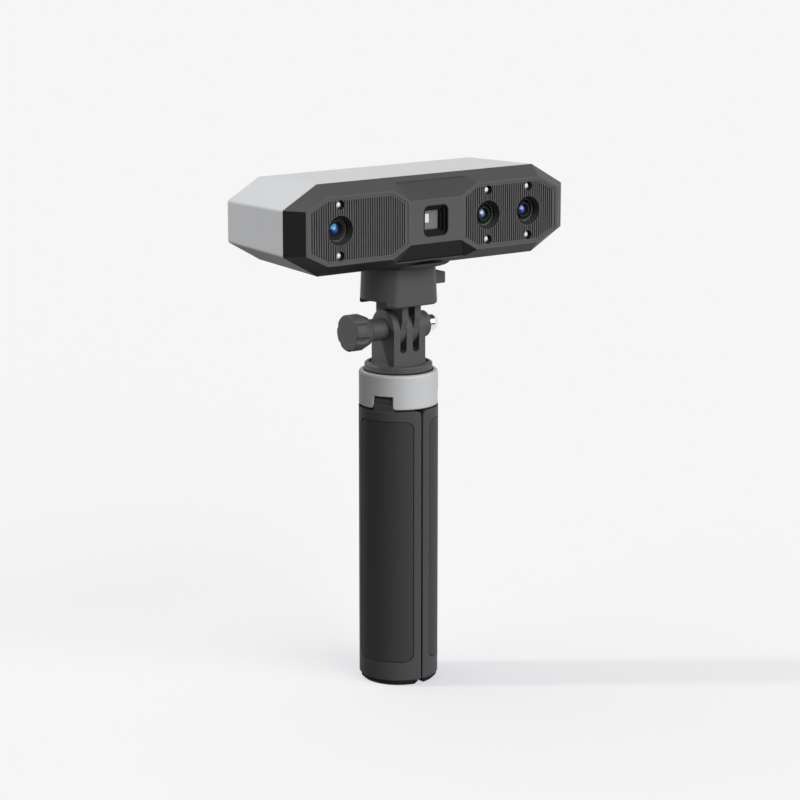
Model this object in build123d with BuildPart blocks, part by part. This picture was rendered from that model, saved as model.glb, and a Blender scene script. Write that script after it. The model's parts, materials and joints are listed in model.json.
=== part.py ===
"""Handheld three-d scanner on a quick-release adapter, a pronged tilt joint and a folding tripod handle.

The handle's axis is the Z axis, the floor is Z = 0 and the lenses look along -Y. All sizes are millimetres.
"""

import math
import os

from build123d import *

# Legs, grips and feet
leg_radius = 15.7
leg_inner_radius = 8.8
leg_top_z = 111.7
leg_seam_gap = 0.8
leg_corner_round = 2.2
leg_bottom_chamfer = 0.4
leg_names = {"front_left_leg": -150.0, "front_right_leg": -30.0, "rear_leg": 90.0}
grip_depth = 1.1
grip_half_width = 11.1
grip_bottom_z = 10.0
grip_top_z = 107.5
grip_corner_round = 3.0
grip_clearance = 0.25
foot_height = 2.1
foot_step = 0.4
foot_corner_round = 1.5
foot_chamfer = 1.2
foot_plug_depth = 1.9
foot_margin = 2.0
foot_clearance = 0.05

# Leg hinges
tongue_width = 8.0
tongue_radius = 1.9
tongue_apron_x = 15.1
tongue_apron_height = 2.4
hinge_radius = 12.6
hinge_rise = 3.5
hinge_pin_radius = 1.0
hinge_pin_length = 13.0
hinge_clearance = 0.05
pin_seat_clearance = 0.02
notch_side_clearance = 0.2
notch_top_clearance = 0.6
notch_back_clearance = 0.3
notch_mouth_round = 1.5
notch_mouth_spare = 3.0

# Collar and pole
collar_gap = 0.7
collar_height = 13.6
collar_radius = 15.6
collar_top_round = 1.0
collar_bottom_chamfer = 0.4
collar_seat_depth = 0.4
sleeve_radius = 7.0
sleeve_length = 108.0
pole_radius = 5.5
pole_length = 104.0
pole_clearance = 0.08
pole_stud_radius = 3.0
pole_stud_length = 6.0
pole_wall = 1.0
sleeve_seat_clearance = 0.02

# Tilt joint
disc_radius = 13.4
disc_thickness = 3.4
disc_top_chamfer = 0.5
disc_rim_width = 1.5
disc_dish_depth = 0.8
disc_seat_clearance = 0.1
tilt_axis_rise = 13.8
prong_pitch = 6.1
base_prong_thickness = 3.0
base_prong_radius = 7.5
slot_depth_below_axis = 9.3
drum_prong_thickness = 2.9
drum_prong_radius = 7.4
drum_prong_half_depth = 8.7
drum_prong_taper_rise = 4.0
bolt_radius = 2.5
bolt_clearance = 0.05
boss_radius = 5.25
boss_length = 4.6
nut_across_flats = 7.2
nut_hex_depth = 3.2
nut_dome_length = 6.5
nut_dome_round = 3.5
nut_clearance = 0.02
knob_radius = 7.3
knob_face_x = -24.6
knob_grip_length = 4.6
knob_taper_length = 3.8
knob_taper_radius = 5.8
knob_cone_length = 1.3
knob_neck_radius = 4.75
knob_shank_radius = 4.4
knob_gap = 0.2
knob_flutes = 6
knob_flute_turn = 17.0
knob_flute_radius = 1.6
knob_flute_depth = 0.9
knob_edge_round = 0.7
knob_bolt_depth = 14.0
bolt_nut_reach = 1.5

# Adapter drum, release slide and mount plate
drum_clearance_over_axis = 9.6
drum_height = 15.4
drum_bottom_radius = 15.2
drum_top_radius = 14.5
drum_flat_y = 12.0
drum_flat_round = 4.0
drum_bottom_round = 1.0
drum_wall = 1.4
drum_relief_height = 2.4
drum_relief_half_width = 8.8
drum_relief_x = 5.0
cover_thickness = 3.8
cover_clearance = 0.08
slide_thickness = 4.5
slide_travel = 2.5
slide_ring_radius = 10.2
slide_ring_centre_x = 1.0
slide_hole_radius = 7.4
slide_hole_centre_x = 1.9
slide_half_width = 6.0
slide_end_x = 18.8
slide_clearance = 0.2
tab_edge_round = 0.8
spring_radius = 1.3
spring_wire = 0.4
spring_pocket_start_x = 10.0
spring_pocket_end_x = 16.6
spring_stop_length = 1.0
spring_pocket_clearance = 0.4
post_radius = 6.5
post_groove_radius = 5.2
post_flange_height = 2.5
post_clearance = 0.2
pad_gap = 1.1
pad_seat_radius = 11.5
pad_radius = 20.0
pad_thickness = 1.4
pad_edge_round = 0.4
stud_radius = 3.175
stud_below_pad = 6.0
stud_above_pad = 6.2
stud_clearance = 0.025

# Head shell and bezel
head_width = 133.0
head_height = 34.7
head_cut_x = 15.2
head_cut_z = 8.6
parting_y = -18.6
shell_depth = 40.2
shell_draft = 1.3
shell_wall = 2.2
shell_edge_round = 1.4
shell_back_round = 1.2
bezel_depth = 5.7
bezel_bevel_x = 6.5
front_height = 26.2
front_cut_x = 9.8
front_cut_z = 4.75
bezel_skin = 3.3
lip_depth = 3.0
lip_width = 1.6
lip_clearance = 0.15
bridge_share = 0.2
bridge_half_height = 8.5
panel_inner_cut_x = 8.1
panel_inner_cut_z = 4.6
trough_depth = 4.23
trough_flare_x = 4.0
trough_half_height = 16.25
trough_lip_z = 15.6
trough_end_step = 0.2

# Rib panels
panel_rim = 1.2
panel_pocket = 1.8
panel_plate = 1.0
panel_clearance = 0.05
rib_height = 0.55
rib_pitch = 1.06
rib_groove = 0.5
rib_border = 0.6
hole_border = 0.15

# Lenses, lamps and projector
left_lens_inset = 9.7
right_lens_inset = 8.6
colour_lens_share = 0.404
recess_radius = 5.7
recess_floor_radius = 4.4
lens_setback = 3.0
barrel_radius = 3.9
barrel_length = 12.3
barrel_step = 1.9
barrel_nose_radius = {"left": 3.8, "colour": 2.9, "right": 2.9}
barrel_mouth_radius = {"left": 3.1, "colour": 2.3, "right": 2.3}
barrel_bore_radius = 1.4
barrel_mouth_depth = 0.9
barrel_clearance = 0.1
glass_radius = {"left": 2.3, "colour": 1.85, "right": 1.85}
glass_thickness = 0.9
glass_crown = 0.5
glass_clearance = 0.03
led_hole_radius = 1.85
led_radius = 1.3
led_length = 2.0
led_dome_round = 1.2
led_rise = 9.6
led_board_thickness = 1.0
led_board_half_height = 12.2
led_board_margin = 5.0
led_board_gap = 0.3
window_width = 11.8
window_height = 12.1
window_corner_round = 2.5
window_clearance = 0.05
window_frame_depth = 4.9
window_lip = 0.5
window_steps = 2
window_step_width = 0.9
window_step_depth = 1.2
window_pane_round = 0.5
window_glass_thickness = 0.8

# Inside the head
frame_thickness = 2.0
frame_clearance = 0.3
camera_block = 11.0
camera_block_depth = 7.0
camera_board = 12.0
camera_board_thickness = 1.2
camera_bore_spare = 0.4
projector_half_width = 13.0
projector_half_height = 8.4
projector_board_gap = 4.0
projector_snout_radius = 4.6
projector_snout_length = 4.4
projector_clearance = 0.3
case_screw_inset = 12.5
case_screw_z = 8.6
case_post_radius = 3.3
case_screw_radius = 1.25
case_screw_head_radius = 2.3
case_screw_head_height = 1.8
case_screw_grip = 5.6
case_screw_reach = 5.0
case_screw_clearance = 0.1
thread_clearance = 0.02
board_back_gap = 9.8
board_thickness = 1.6
board_end_gap = 20.5
board_half_height = 8.7
standoff_inset_x = 6.0
standoff_inset_z = 2.5
standoff_radius = 2.4
board_screw_radius = 1.0
board_screw_head_radius = 1.9
board_screw_head_height = 1.3
board_screw_length = 6.0
board_screw_clearance = 0.05
insert_radius = 4.8
insert_length = 6.6
insert_recess = 0.3
insert_wall = 2.6
insert_clearance = 0.02

# Back of the head
button_x = {"capture": 0.0, "plus": 15.0, "minus": -15.0}
button_radius = {"capture": 6.0, "plus": 3.6, "minus": 3.6}
button_proud = 0.8
button_travel = 0.6
button_clearance = 0.1
button_flange = 1.3
button_flange_thickness = 1.2
button_stem_radius = 1.5
button_edge_round = 0.4
switch_size = 6.0
switch_height = 4.0
switch_plunger_radius = 1.7
switch_plunger_height = 1.0
switch_gap = 0.2
socket_inset = 10.0
socket_width = 9.0
socket_height = 3.3
socket_wall = 0.35
socket_setback = 0.6
socket_clearance = 0.15
socket_tongue_height = 0.7
socket_base_depth = 4.0
light_radius = 1.2
light_clearance = 0.05

# Levels worked out from the sizes above
collar_bottom_z = leg_top_z + collar_gap
collar_top_z = collar_bottom_z + collar_height
hinge_z = leg_top_z + hinge_rise
disc_bottom_z = collar_top_z - collar_seat_depth
disc_top_z = disc_bottom_z + disc_thickness
tilt_axis_z = disc_top_z + tilt_axis_rise
drum_bottom_z = tilt_axis_z + drum_clearance_over_axis
drum_top_z = drum_bottom_z + drum_height
cover_bottom_z = drum_top_z - cover_thickness
slide_top_z = cover_bottom_z - slide_clearance
slide_bottom_z = slide_top_z - slide_thickness
slide_floor_z = slide_bottom_z - slide_clearance
pad_bottom_z = drum_top_z + pad_gap
head_bottom_z = pad_bottom_z + pad_thickness
head_centre_z = head_bottom_z + head_height / 2
front_y = parting_y - bezel_depth
bezel_back_y = front_y + bezel_skin
lip_end_y = parting_y + lip_depth
lens_front_y = front_y + lens_setback
frame_back_y = lip_end_y + frame_thickness
back_y = parting_y + shell_depth
back_wall_y = back_y - shell_wall
board_back_y = back_wall_y - board_back_gap
board_y = board_back_y - board_thickness
projector_depth = board_y - projector_board_gap - frame_back_y
front_width = head_width - 2 * bezel_bevel_x
bridge_half_width = bridge_share * front_width / 2
trough_half_width = bridge_half_width + trough_flare_x
trough_rise = trough_half_height - bridge_half_height
trough_end_depth = trough_depth * (trough_lip_z - trough_end_step - bridge_half_height) / trough_rise
case_screw_x = head_width / 2 - case_screw_inset
right_lens_x = case_screw_x - right_lens_inset
lens_places = {
    "left": left_lens_inset - case_screw_x,
    "colour": bridge_half_width + colour_lens_share * (right_lens_x - bridge_half_width),
    "right": right_lens_x,
}
led_board_end_x = case_screw_x - case_post_radius - led_board_gap
window_glass_inset = window_lip + window_steps * window_step_width
window_glass_setback = (window_steps + 1) * window_step_depth
board_half_width = head_width / 2 - board_end_gap
standoff_x = board_half_width - standoff_inset_x
standoff_z = board_half_height - standoff_inset_z
socket_x = board_half_width - socket_inset
light_x = -socket_x
base_half_width = prong_pitch + base_prong_thickness / 2
boss_end_x = base_half_width + boss_length
parting_octagon = (head_width / 2, head_height / 2, head_cut_x, head_cut_z)
shell_taper = math.degrees(math.atan(shell_draft / shell_depth))
front_octagon = (front_width / 2, front_height / 2, front_cut_x, front_cut_z)


def head_plane(y, facing=-1):
    """Plane across the head at depth y, centred on it, facing the front unless told otherwise."""
    return Plane(origin=(0, y, head_centre_z), x_dir=(1, 0, 0), z_dir=(0, facing, 0))


def inset_cut(cut_x, cut_z, amount):
    """Sizes of a corner cut once all three sides beside it lie the amount further in."""
    slope = math.hypot(cut_x, cut_z)
    new_cut_x = cut_x - amount + amount * (slope - cut_x) / cut_z
    new_cut_z = cut_z - amount + amount * (slope - cut_z) / cut_x
    return new_cut_x, new_cut_z


def inset(size, amount):
    """Sizes of the octagon whose every side lies the amount further in."""
    half_x, half_z, cut_x, cut_z = size
    return half_x - amount, half_z - amount, *inset_cut(cut_x, cut_z, amount)


def octagon(size):
    """Add a long octagon, centred on the sketch in hand."""
    half_x, half_z, cut_x, cut_z = size
    flat_x = half_x - cut_x
    flat_z = half_z - cut_z
    Polygon(
        (half_x, -flat_z), (half_x, flat_z), (flat_x, half_z), (-flat_x, half_z),
        (-half_x, flat_z), (-half_x, -flat_z), (-flat_x, -half_z), (flat_x, -half_z),
    )


def panel_outline(side, amount, mode=Mode.ADD):
    """One panel's octagon, from the bridge to the outer edge, with every side moved in by the amount."""
    inner_x = bridge_half_width + amount
    outer_x = front_width / 2 - amount
    half_z = front_height / 2 - amount
    inner_cut_x, inner_cut_z = inset_cut(panel_inner_cut_x, panel_inner_cut_z, amount)
    outer_cut_x, outer_cut_z = inset_cut(front_cut_x, front_cut_z, amount)
    points = [
        (inner_x, inner_cut_z - half_z), (inner_x + inner_cut_x, -half_z),
        (outer_x - outer_cut_x, -half_z), (outer_x, outer_cut_z - half_z),
        (outer_x, half_z - outer_cut_z), (outer_x - outer_cut_x, half_z),
        (inner_x + inner_cut_x, half_z), (inner_x, half_z - inner_cut_z),
    ]
    if side < 0:
        points = [(-x, z) for x, z in reversed(points)]
    Polygon(*points, align=None, mode=mode)


def lens_spots(side):
    """Places of the lenses on one side of the head."""
    return [(x, 0) for x in lens_places.values() if x * side > 0]


def lamp_spots(side):
    """Places of the lamps above and below the lenses on one side of the head."""
    return [(x, z) for x, _ in lens_spots(side) for z in (-led_rise, led_rise)]


all_lens_spots = lens_spots(-1) + lens_spots(1)
all_lamp_spots = lamp_spots(-1) + lamp_spots(1)
case_screw_spots = [(x, z) for x in (-case_screw_x, case_screw_x) for z in (-case_screw_z, case_screw_z)]
standoff_spots = [(x, z) for x in (-standoff_x, standoff_x) for z in (-standoff_z, standoff_z)]


def trough_section(depth, direction):
    """Add the trough's section at one depth behind the front: a floor line with sides that open outwards."""
    share = depth / trough_depth
    floor_x = bridge_half_width + share * (trough_half_width - bridge_half_width)
    floor_z = bridge_half_height + share * trough_rise
    lip_x = floor_x + (trough_lip_z - floor_z) * panel_inner_cut_x / panel_inner_cut_z
    points = [(-floor_x, floor_z), (floor_x, floor_z), (lip_x, trough_lip_z), (-lip_x, trough_lip_z)]
    if direction < 0:
        points = [(x, -z) for x, z in reversed(points)]
    Polygon(*points, align=None)


os.makedirs("parts", exist_ok=True)


def save(piece, name):
    """Label a finished piece and write its file."""
    piece.part.label = name
    export_step(piece.part, f"parts/{name}.step")


# Rear shell: a long eight-sided tub with posts for the case screws and the board
with BuildPart() as rear_shell:
    with BuildSketch(head_plane(parting_y, 1)):
        octagon(parting_octagon)
    extrude(amount=shell_depth, taper=shell_taper)
    long_edges = rear_shell.edges().filter_by(lambda edge: edge.bounding_box().size.Y > shell_depth / 2)
    fillet(long_edges, shell_edge_round)
    fillet(rear_shell.faces().sort_by(Axis.Y)[-1].edges(), shell_back_round)
    with BuildSketch(head_plane(parting_y, 1)):
        octagon(inset(parting_octagon, shell_wall))
    extrude(amount=shell_depth - shell_wall, taper=shell_taper, mode=Mode.SUBTRACT)
    with BuildSketch(head_plane(frame_back_y)):
        with Locations(*case_screw_spots):
            Circle(case_post_radius)
    extrude(amount=frame_back_y - back_wall_y)
    with BuildSketch(head_plane(board_back_y)):
        with Locations(*standoff_spots):
            Circle(standoff_radius)
    extrude(amount=board_back_y - back_wall_y)
    with BuildSketch(Plane.XY.offset(head_bottom_z + shell_wall / 2)):
        Circle(insert_radius + insert_wall)
    extrude(amount=insert_length + insert_recess + insert_wall / 2 - shell_wall / 2)
    with BuildSketch(Plane.XY.offset(head_bottom_z)):
        Circle(insert_radius + insert_clearance)
    extrude(amount=insert_recess + insert_length, mode=Mode.SUBTRACT)
    with BuildSketch(head_plane(frame_back_y)):
        with Locations(*case_screw_spots):
            Circle(case_screw_radius + case_screw_clearance)
    extrude(amount=-shell_depth, mode=Mode.SUBTRACT)
    with BuildSketch(head_plane(frame_back_y + case_screw_grip)):
        with Locations(*case_screw_spots):
            Circle(case_screw_head_radius + case_screw_clearance)
    extrude(amount=-shell_depth, mode=Mode.SUBTRACT)
    with BuildSketch(head_plane(board_back_y)):
        with Locations(*standoff_spots):
            Circle(board_screw_radius + board_screw_clearance)
    extrude(amount=-board_screw_length, mode=Mode.SUBTRACT)
    for name, x in button_x.items():
        with BuildSketch(head_plane(back_wall_y - shell_wall)):
            with Locations((x, 0)):
                Circle(button_radius[name] + button_clearance)
        extrude(amount=-shell_depth, mode=Mode.SUBTRACT)
    with BuildSketch(head_plane(back_wall_y - shell_wall)):
        with Locations((socket_x, 0)):
            SlotOverall(socket_width + 2 * socket_clearance, socket_height + 2 * socket_clearance)
        with Locations((light_x, 0)):
            Circle(light_radius + light_clearance)
    extrude(amount=-shell_depth, mode=Mode.SUBTRACT)
save(rear_shell, "rear_shell")

# Front bezel: a bevelled frame with two panel pockets, a flat bridge between them and two sloping troughs
with BuildPart() as front_bezel:
    with BuildSketch(head_plane(parting_y)):
        octagon(parting_octagon)
    with BuildSketch(head_plane(front_y)):
        octagon(front_octagon)
    loft(ruled=True)
    for direction in (-1, 1):
        with BuildSketch(head_plane(front_y - bezel_depth / 4)):
            trough_section(-bezel_depth / 4, direction)
        with BuildSketch(head_plane(front_y + trough_end_depth)):
            trough_section(trough_end_depth, direction)
        loft(ruled=True, mode=Mode.SUBTRACT)
    with BuildSketch(head_plane(parting_y)):
        octagon(inset(parting_octagon, shell_wall + lip_clearance))
    extrude(amount=-lip_depth)
    with BuildSketch(head_plane(lip_end_y)):
        octagon(inset(parting_octagon, shell_wall + lip_clearance + lip_width))
    extrude(amount=lip_end_y - bezel_back_y, mode=Mode.SUBTRACT)
    with BuildSketch(head_plane(lip_end_y)):
        with Locations(*case_screw_spots):
            Circle(case_post_radius)
    extrude(amount=lip_end_y - bezel_back_y)
    with BuildSketch(head_plane(lip_end_y)):
        with Locations(*case_screw_spots):
            Circle(case_screw_radius + thread_clearance)
    extrude(amount=case_screw_reach, mode=Mode.SUBTRACT)
    for side in (-1, 1):
        with BuildSketch(head_plane(front_y)):
            panel_outline(side, panel_rim)
        extrude(amount=-panel_pocket, mode=Mode.SUBTRACT)
    with BuildSketch(head_plane(front_y + lens_setback)):
        with Locations(*all_lens_spots):
            Circle(recess_floor_radius)
    extrude(amount=lens_setback, mode=Mode.SUBTRACT)
    with BuildSketch(head_plane(lip_end_y)):
        with Locations(*all_lens_spots):
            Circle(barrel_radius + barrel_clearance)
        with Locations(*all_lamp_spots):
            Circle(led_hole_radius)
        RectangleRounded(window_width, window_height, window_corner_round)
    extrude(amount=lip_end_y - front_y, mode=Mode.SUBTRACT)
save(front_bezel, "front_bezel")

# Rib panels: plates with upright ribs, let into the bezel
for side, name in ((-1, "left_rib_panel"), (1, "right_rib_panel")):
    rib_centre_x = side * (front_width / 2 + bridge_half_width) / 2
    rib_span = front_width / 2 - bridge_half_width - 2 * (panel_rim + panel_clearance + rib_border)
    rib_count = int(rib_span / rib_pitch)
    with BuildPart() as rib_panel:
        with BuildSketch(head_plane(front_y + panel_pocket)):
            panel_outline(side, panel_rim + panel_clearance)
        extrude(amount=panel_plate + rib_height)
        with BuildSketch(head_plane(front_y + panel_pocket - panel_plate)):
            with Locations((rib_centre_x, 0)):
                with GridLocations(rib_pitch, 0, rib_count, 1):
                    Rectangle(rib_groove, front_height)
            panel_outline(side, panel_rim + panel_clearance + rib_border, Mode.INTERSECT)
            with Locations(*lens_spots(side)):
                Circle(recess_radius + hole_border, mode=Mode.SUBTRACT)
            with Locations(*lamp_spots(side)):
                Circle(led_hole_radius + hole_border, mode=Mode.SUBTRACT)
        extrude(amount=rib_height, mode=Mode.SUBTRACT)
        for spot in lens_spots(side):
            with BuildSketch(head_plane(front_y + panel_pocket)):
                with Locations(spot):
                    Circle(recess_floor_radius)
            with BuildSketch(head_plane(front_y + panel_pocket - panel_plate - rib_height)):
                with Locations(spot):
                    Circle(recess_radius)
            loft(mode=Mode.SUBTRACT)
        with BuildSketch(head_plane(front_y + panel_pocket)):
            with Locations(*lamp_spots(side)):
                Circle(led_hole_radius)
        extrude(amount=panel_pocket, mode=Mode.SUBTRACT)
    save(rib_panel, name)

# Lens barrels: tubes with a nose and a coned mouth; each glass is a crowned disc seated behind the mouth
for name, x in lens_places.items():
    glass_y = lens_front_y + barrel_mouth_depth
    glass_edge = glass_radius[name]
    with BuildPart() as lens_barrel:
        with BuildSketch(head_plane(lens_front_y, 1)):
            with Locations((x, 0)):
                Circle(barrel_nose_radius[name])
        extrude(amount=barrel_length)
        with BuildSketch(head_plane(lens_front_y + barrel_step, 1)):
            with Locations((x, 0)):
                Circle(barrel_radius)
        extrude(amount=barrel_length - barrel_step)
        with BuildSketch(head_plane(lens_front_y, 1)):
            with Locations((x, 0)):
                Circle(barrel_mouth_radius[name])
        with BuildSketch(head_plane(glass_y, 1)):
            with Locations((x, 0)):
                Circle(glass_edge + glass_clearance)
        loft(mode=Mode.SUBTRACT)
        with BuildSketch(head_plane(glass_y, 1)):
            with Locations((x, 0)):
                Circle(glass_edge + glass_clearance)
        extrude(amount=glass_thickness, mode=Mode.SUBTRACT)
        with BuildSketch(head_plane(glass_y, 1)):
            with Locations((x, 0)):
                Circle(barrel_bore_radius)
        extrude(amount=barrel_length, mode=Mode.SUBTRACT)
    save(lens_barrel, f"{name}_lens_barrel")

    crown_radius = (glass_edge**2 + glass_crown**2) / (2 * glass_crown)
    half_turn = math.asin(glass_edge / crown_radius) / 2
    crown_middle = (crown_radius * math.sin(half_turn), crown_radius * (1 - math.cos(half_turn)) - glass_crown)
    with BuildPart() as lens_glass:
        with BuildSketch(Plane(origin=(x, glass_y, head_centre_z), x_dir=(1, 0, 0), z_dir=(0, 0, 1))):
            with BuildLine():
                ThreePointArc((0, -glass_crown), crown_middle, (glass_edge, 0))
                Polyline((glass_edge, 0), (glass_edge, glass_thickness), (0, glass_thickness), (0, -glass_crown))
            make_face()
        revolve(axis=Axis((x, glass_y, head_centre_z), (0, 1, 0)))
    save(lens_glass, f"{name}_lens_glass")

# Camera modules: a block that holds the barrel's end, with its sensor board behind
for name, x in lens_places.items():
    bore_depth = lens_front_y + barrel_length + camera_bore_spare - frame_back_y
    with BuildPart() as camera:
        with BuildSketch(head_plane(frame_back_y, 1)):
            with Locations((x, 0)):
                Rectangle(camera_block, camera_block)
        extrude(amount=camera_block_depth)
        with BuildSketch(head_plane(frame_back_y + camera_block_depth, 1)):
            with Locations((x, 0)):
                Rectangle(camera_board, camera_board)
        extrude(amount=camera_board_thickness)
        with BuildSketch(head_plane(frame_back_y, 1)):
            with Locations((x, 0)):
                Circle(barrel_radius + barrel_clearance)
        extrude(amount=bore_depth, mode=Mode.SUBTRACT)
    save(camera, f"{name}_camera")

# Lamps and the boards that carry them on the bezel's back
with BuildPart() as fill_leds:
    with BuildSketch(head_plane(bezel_back_y)):
        with Locations(*all_lamp_spots):
            Circle(led_radius)
    extrude(amount=led_length)
    fillet(fill_leds.faces().group_by(Axis.Y)[0].edges(), led_dome_round)
save(fill_leds, "fill_leds")

for side, name in ((-1, "left_led_board"), (1, "right_led_board")):
    inner_end_x = min(abs(x) for x, _ in lens_spots(side)) - led_board_margin
    with BuildPart() as led_board:
        with BuildSketch(head_plane(bezel_back_y, 1)):
            with Locations((side * (led_board_end_x + inner_end_x) / 2, 0)):
                Rectangle(led_board_end_x - inner_end_x, 2 * led_board_half_height)
            with Locations(*lens_spots(side)):
                Circle(barrel_radius + barrel_clearance, mode=Mode.SUBTRACT)
        extrude(amount=led_board_thickness)
    save(led_board, name)

# Projector window: a stepped frame in the bridge with a pane of glass in it
def window_outline(amount, corner_round):
    """Add the window's rounded outline with every side moved in by the amount."""
    RectangleRounded(window_width - 2 * amount, window_height - 2 * amount, corner_round)


with BuildPart() as projector_frame:
    with BuildSketch(head_plane(front_y, 1)):
        window_outline(window_clearance, window_corner_round)
    extrude(amount=window_frame_depth)
    for step in range(window_steps):
        ledge_inset = window_lip + step * window_step_width
        with BuildSketch(head_plane(front_y, 1)):
            window_outline(ledge_inset, window_corner_round - ledge_inset)
        extrude(amount=(step + 1) * window_step_depth, mode=Mode.SUBTRACT)
    with BuildSketch(head_plane(front_y, 1)):
        window_outline(window_glass_inset, window_pane_round)
    extrude(amount=window_frame_depth, mode=Mode.SUBTRACT)
save(projector_frame, "projector_frame")

with BuildPart() as projector_window:
    with BuildSketch(head_plane(front_y + window_glass_setback, 1)):
        window_outline(window_glass_inset + window_clearance, window_pane_round)
    extrude(amount=window_glass_thickness)
save(projector_window, "projector_window")

with BuildPart() as projector_module:
    with BuildSketch(head_plane(frame_back_y, 1)):
        Rectangle(2 * projector_half_width, 2 * projector_half_height)
    extrude(amount=projector_depth)
    with BuildSketch(head_plane(frame_back_y)):
        Circle(projector_snout_radius)
    extrude(amount=projector_snout_length)
save(projector_module, "projector_module")

# Optical frame: the plate that carries the cameras and the projector, clamped by the case screws
with BuildPart() as optical_frame:
    with BuildSketch(head_plane(lip_end_y, 1)):
        octagon(inset(parting_octagon, shell_wall + frame_clearance))
        with Locations(*all_lens_spots):
            Circle(barrel_radius + barrel_clearance, mode=Mode.SUBTRACT)
        with Locations(*case_screw_spots):
            Circle(case_screw_radius + case_screw_clearance, mode=Mode.SUBTRACT)
        Circle(projector_snout_radius + projector_clearance, mode=Mode.SUBTRACT)
    extrude(amount=frame_thickness)
save(optical_frame, "optical_frame")

with BuildPart() as case_screws:
    with BuildSketch(head_plane(frame_back_y + case_screw_grip)):
        with Locations(*case_screw_spots):
            Circle(case_screw_radius)
    extrude(amount=case_screw_grip + frame_thickness + case_screw_reach - case_screw_clearance)
    with BuildSketch(head_plane(frame_back_y + case_screw_grip, 1)):
        with Locations(*case_screw_spots):
            Circle(case_screw_head_radius)
    extrude(amount=case_screw_head_height)
save(case_screws, "case_screws")

# Main board with its screws, the switches under the buttons and the inlet socket
with BuildPart() as main_board:
    with BuildSketch(head_plane(board_y, 1)):
        Rectangle(2 * board_half_width, 2 * board_half_height)
        with Locations(*standoff_spots):
            Circle(board_screw_radius + board_screw_clearance, mode=Mode.SUBTRACT)
    extrude(amount=board_thickness)
save(main_board, "main_board")

with BuildPart() as board_screws:
    with BuildSketch(head_plane(board_y, 1)):
        with Locations(*standoff_spots):
            Circle(board_screw_radius)
    extrude(amount=board_thickness + board_screw_length - board_screw_clearance)
    with BuildSketch(head_plane(board_y)):
        with Locations(*standoff_spots):
            Circle(board_screw_head_radius)
    extrude(amount=board_screw_head_height)
save(board_screws, "board_screws")

button_spots = [(x, 0) for x in button_x.values()]
with BuildPart() as button_switches:
    with BuildSketch(head_plane(board_back_y, 1)):
        with Locations(*button_spots):
            Rectangle(switch_size, switch_size)
    extrude(amount=switch_height)
    with BuildSketch(head_plane(board_back_y + switch_height, 1)):
        with Locations(*button_spots):
            Circle(switch_plunger_radius)
    extrude(amount=switch_plunger_height)
save(button_switches, "button_switches")

with BuildPart() as usb_socket:
    socket_mouth_y = back_y - socket_setback
    socket_base_y = board_back_y + socket_base_depth
    with BuildSketch(head_plane(board_back_y)):
        with Locations((socket_x, 0)):
            SlotOverall(socket_width, socket_height)
    extrude(amount=board_back_y - socket_mouth_y)
    with BuildSketch(head_plane(socket_base_y)):
        with Locations((socket_x, 0)):
            SlotOverall(socket_width - 2 * socket_wall, socket_height - 2 * socket_wall)
    extrude(amount=socket_base_y - socket_mouth_y, mode=Mode.SUBTRACT)
    with BuildSketch(head_plane(socket_base_y)):
        with Locations((socket_x, 0)):
            Rectangle(socket_width - socket_height, socket_tongue_height)
    extrude(amount=socket_base_y - socket_mouth_y + socket_setback)
save(usb_socket, "usb_socket")

with BuildPart() as light_pipe:
    with BuildSketch(head_plane(board_back_y)):
        with Locations((light_x, 0)):
            Circle(light_radius)
    extrude(amount=board_back_y - back_y)
save(light_pipe, "light_pipe")

# Buttons: a cap through the back wall, a flange behind it and a stem that reaches for the switch
for name, x in button_x.items():
    flange_back_y = back_wall_y - button_clearance
    stem_end_y = board_back_y + switch_height + switch_plunger_height + button_travel + switch_gap
    with BuildPart() as button:
        with BuildSketch(head_plane(flange_back_y - button_flange_thickness, 1)):
            with Locations((x, 0)):
                Circle(button_radius[name])
        extrude(amount=button_flange_thickness + button_clearance + shell_wall + button_proud)
        fillet(button.faces().sort_by(Axis.Y)[-1].edges(), button_edge_round)
        with BuildSketch(head_plane(flange_back_y)):
            with Locations((x, 0)):
                Circle(button_radius[name] + button_flange)
        extrude(amount=button_flange_thickness)
        with BuildSketch(head_plane(flange_back_y)):
            with Locations((x, 0)):
                Circle(button_stem_radius)
        extrude(amount=flange_back_y - stem_end_y)
    save(button, f"{name}_button")

# Threaded insert in the head's underside
with BuildPart() as tripod_insert:
    with BuildSketch(Plane.XY.offset(head_bottom_z + insert_recess)):
        Circle(insert_radius)
        Circle(stud_radius + stud_clearance, mode=Mode.SUBTRACT)
    extrude(amount=insert_length)
save(tripod_insert, "tripod_insert")

# Mount plate: a round pad under the head, with a grooved post that plugs into the drum
post_bottom_z = slide_floor_z - post_flange_height
with BuildPart() as mount_plate:
    with BuildSketch(Plane.XY.offset(pad_bottom_z)):
        Circle(pad_radius)
    extrude(amount=pad_thickness)
    fillet(mount_plate.faces().sort_by(Axis.Z)[0].edges(), pad_edge_round)
    with BuildSketch(Plane.XY.offset(drum_top_z)):
        Circle(pad_seat_radius)
    extrude(amount=pad_gap)
    with BuildSketch(Plane.XY.offset(post_bottom_z)):
        Circle(post_radius)
    extrude(amount=drum_top_z - post_bottom_z)
    with BuildSketch(Plane.XY.offset(slide_floor_z)):
        Circle(post_radius)
        Circle(post_groove_radius, mode=Mode.SUBTRACT)
    extrude(amount=cover_bottom_z - slide_floor_z, mode=Mode.SUBTRACT)
    with BuildSketch(Plane.XY.offset(head_bottom_z - stud_below_pad)):
        Circle(stud_radius + stud_clearance)
    extrude(amount=stud_below_pad, mode=Mode.SUBTRACT)
save(mount_plate, "mount_plate")

with BuildPart() as mount_screw:
    with BuildSketch(Plane.XY.offset(head_bottom_z - stud_below_pad)):
        Circle(stud_radius)
    extrude(amount=stud_below_pad + stud_above_pad)
save(mount_screw, "mount_screw")

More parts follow.
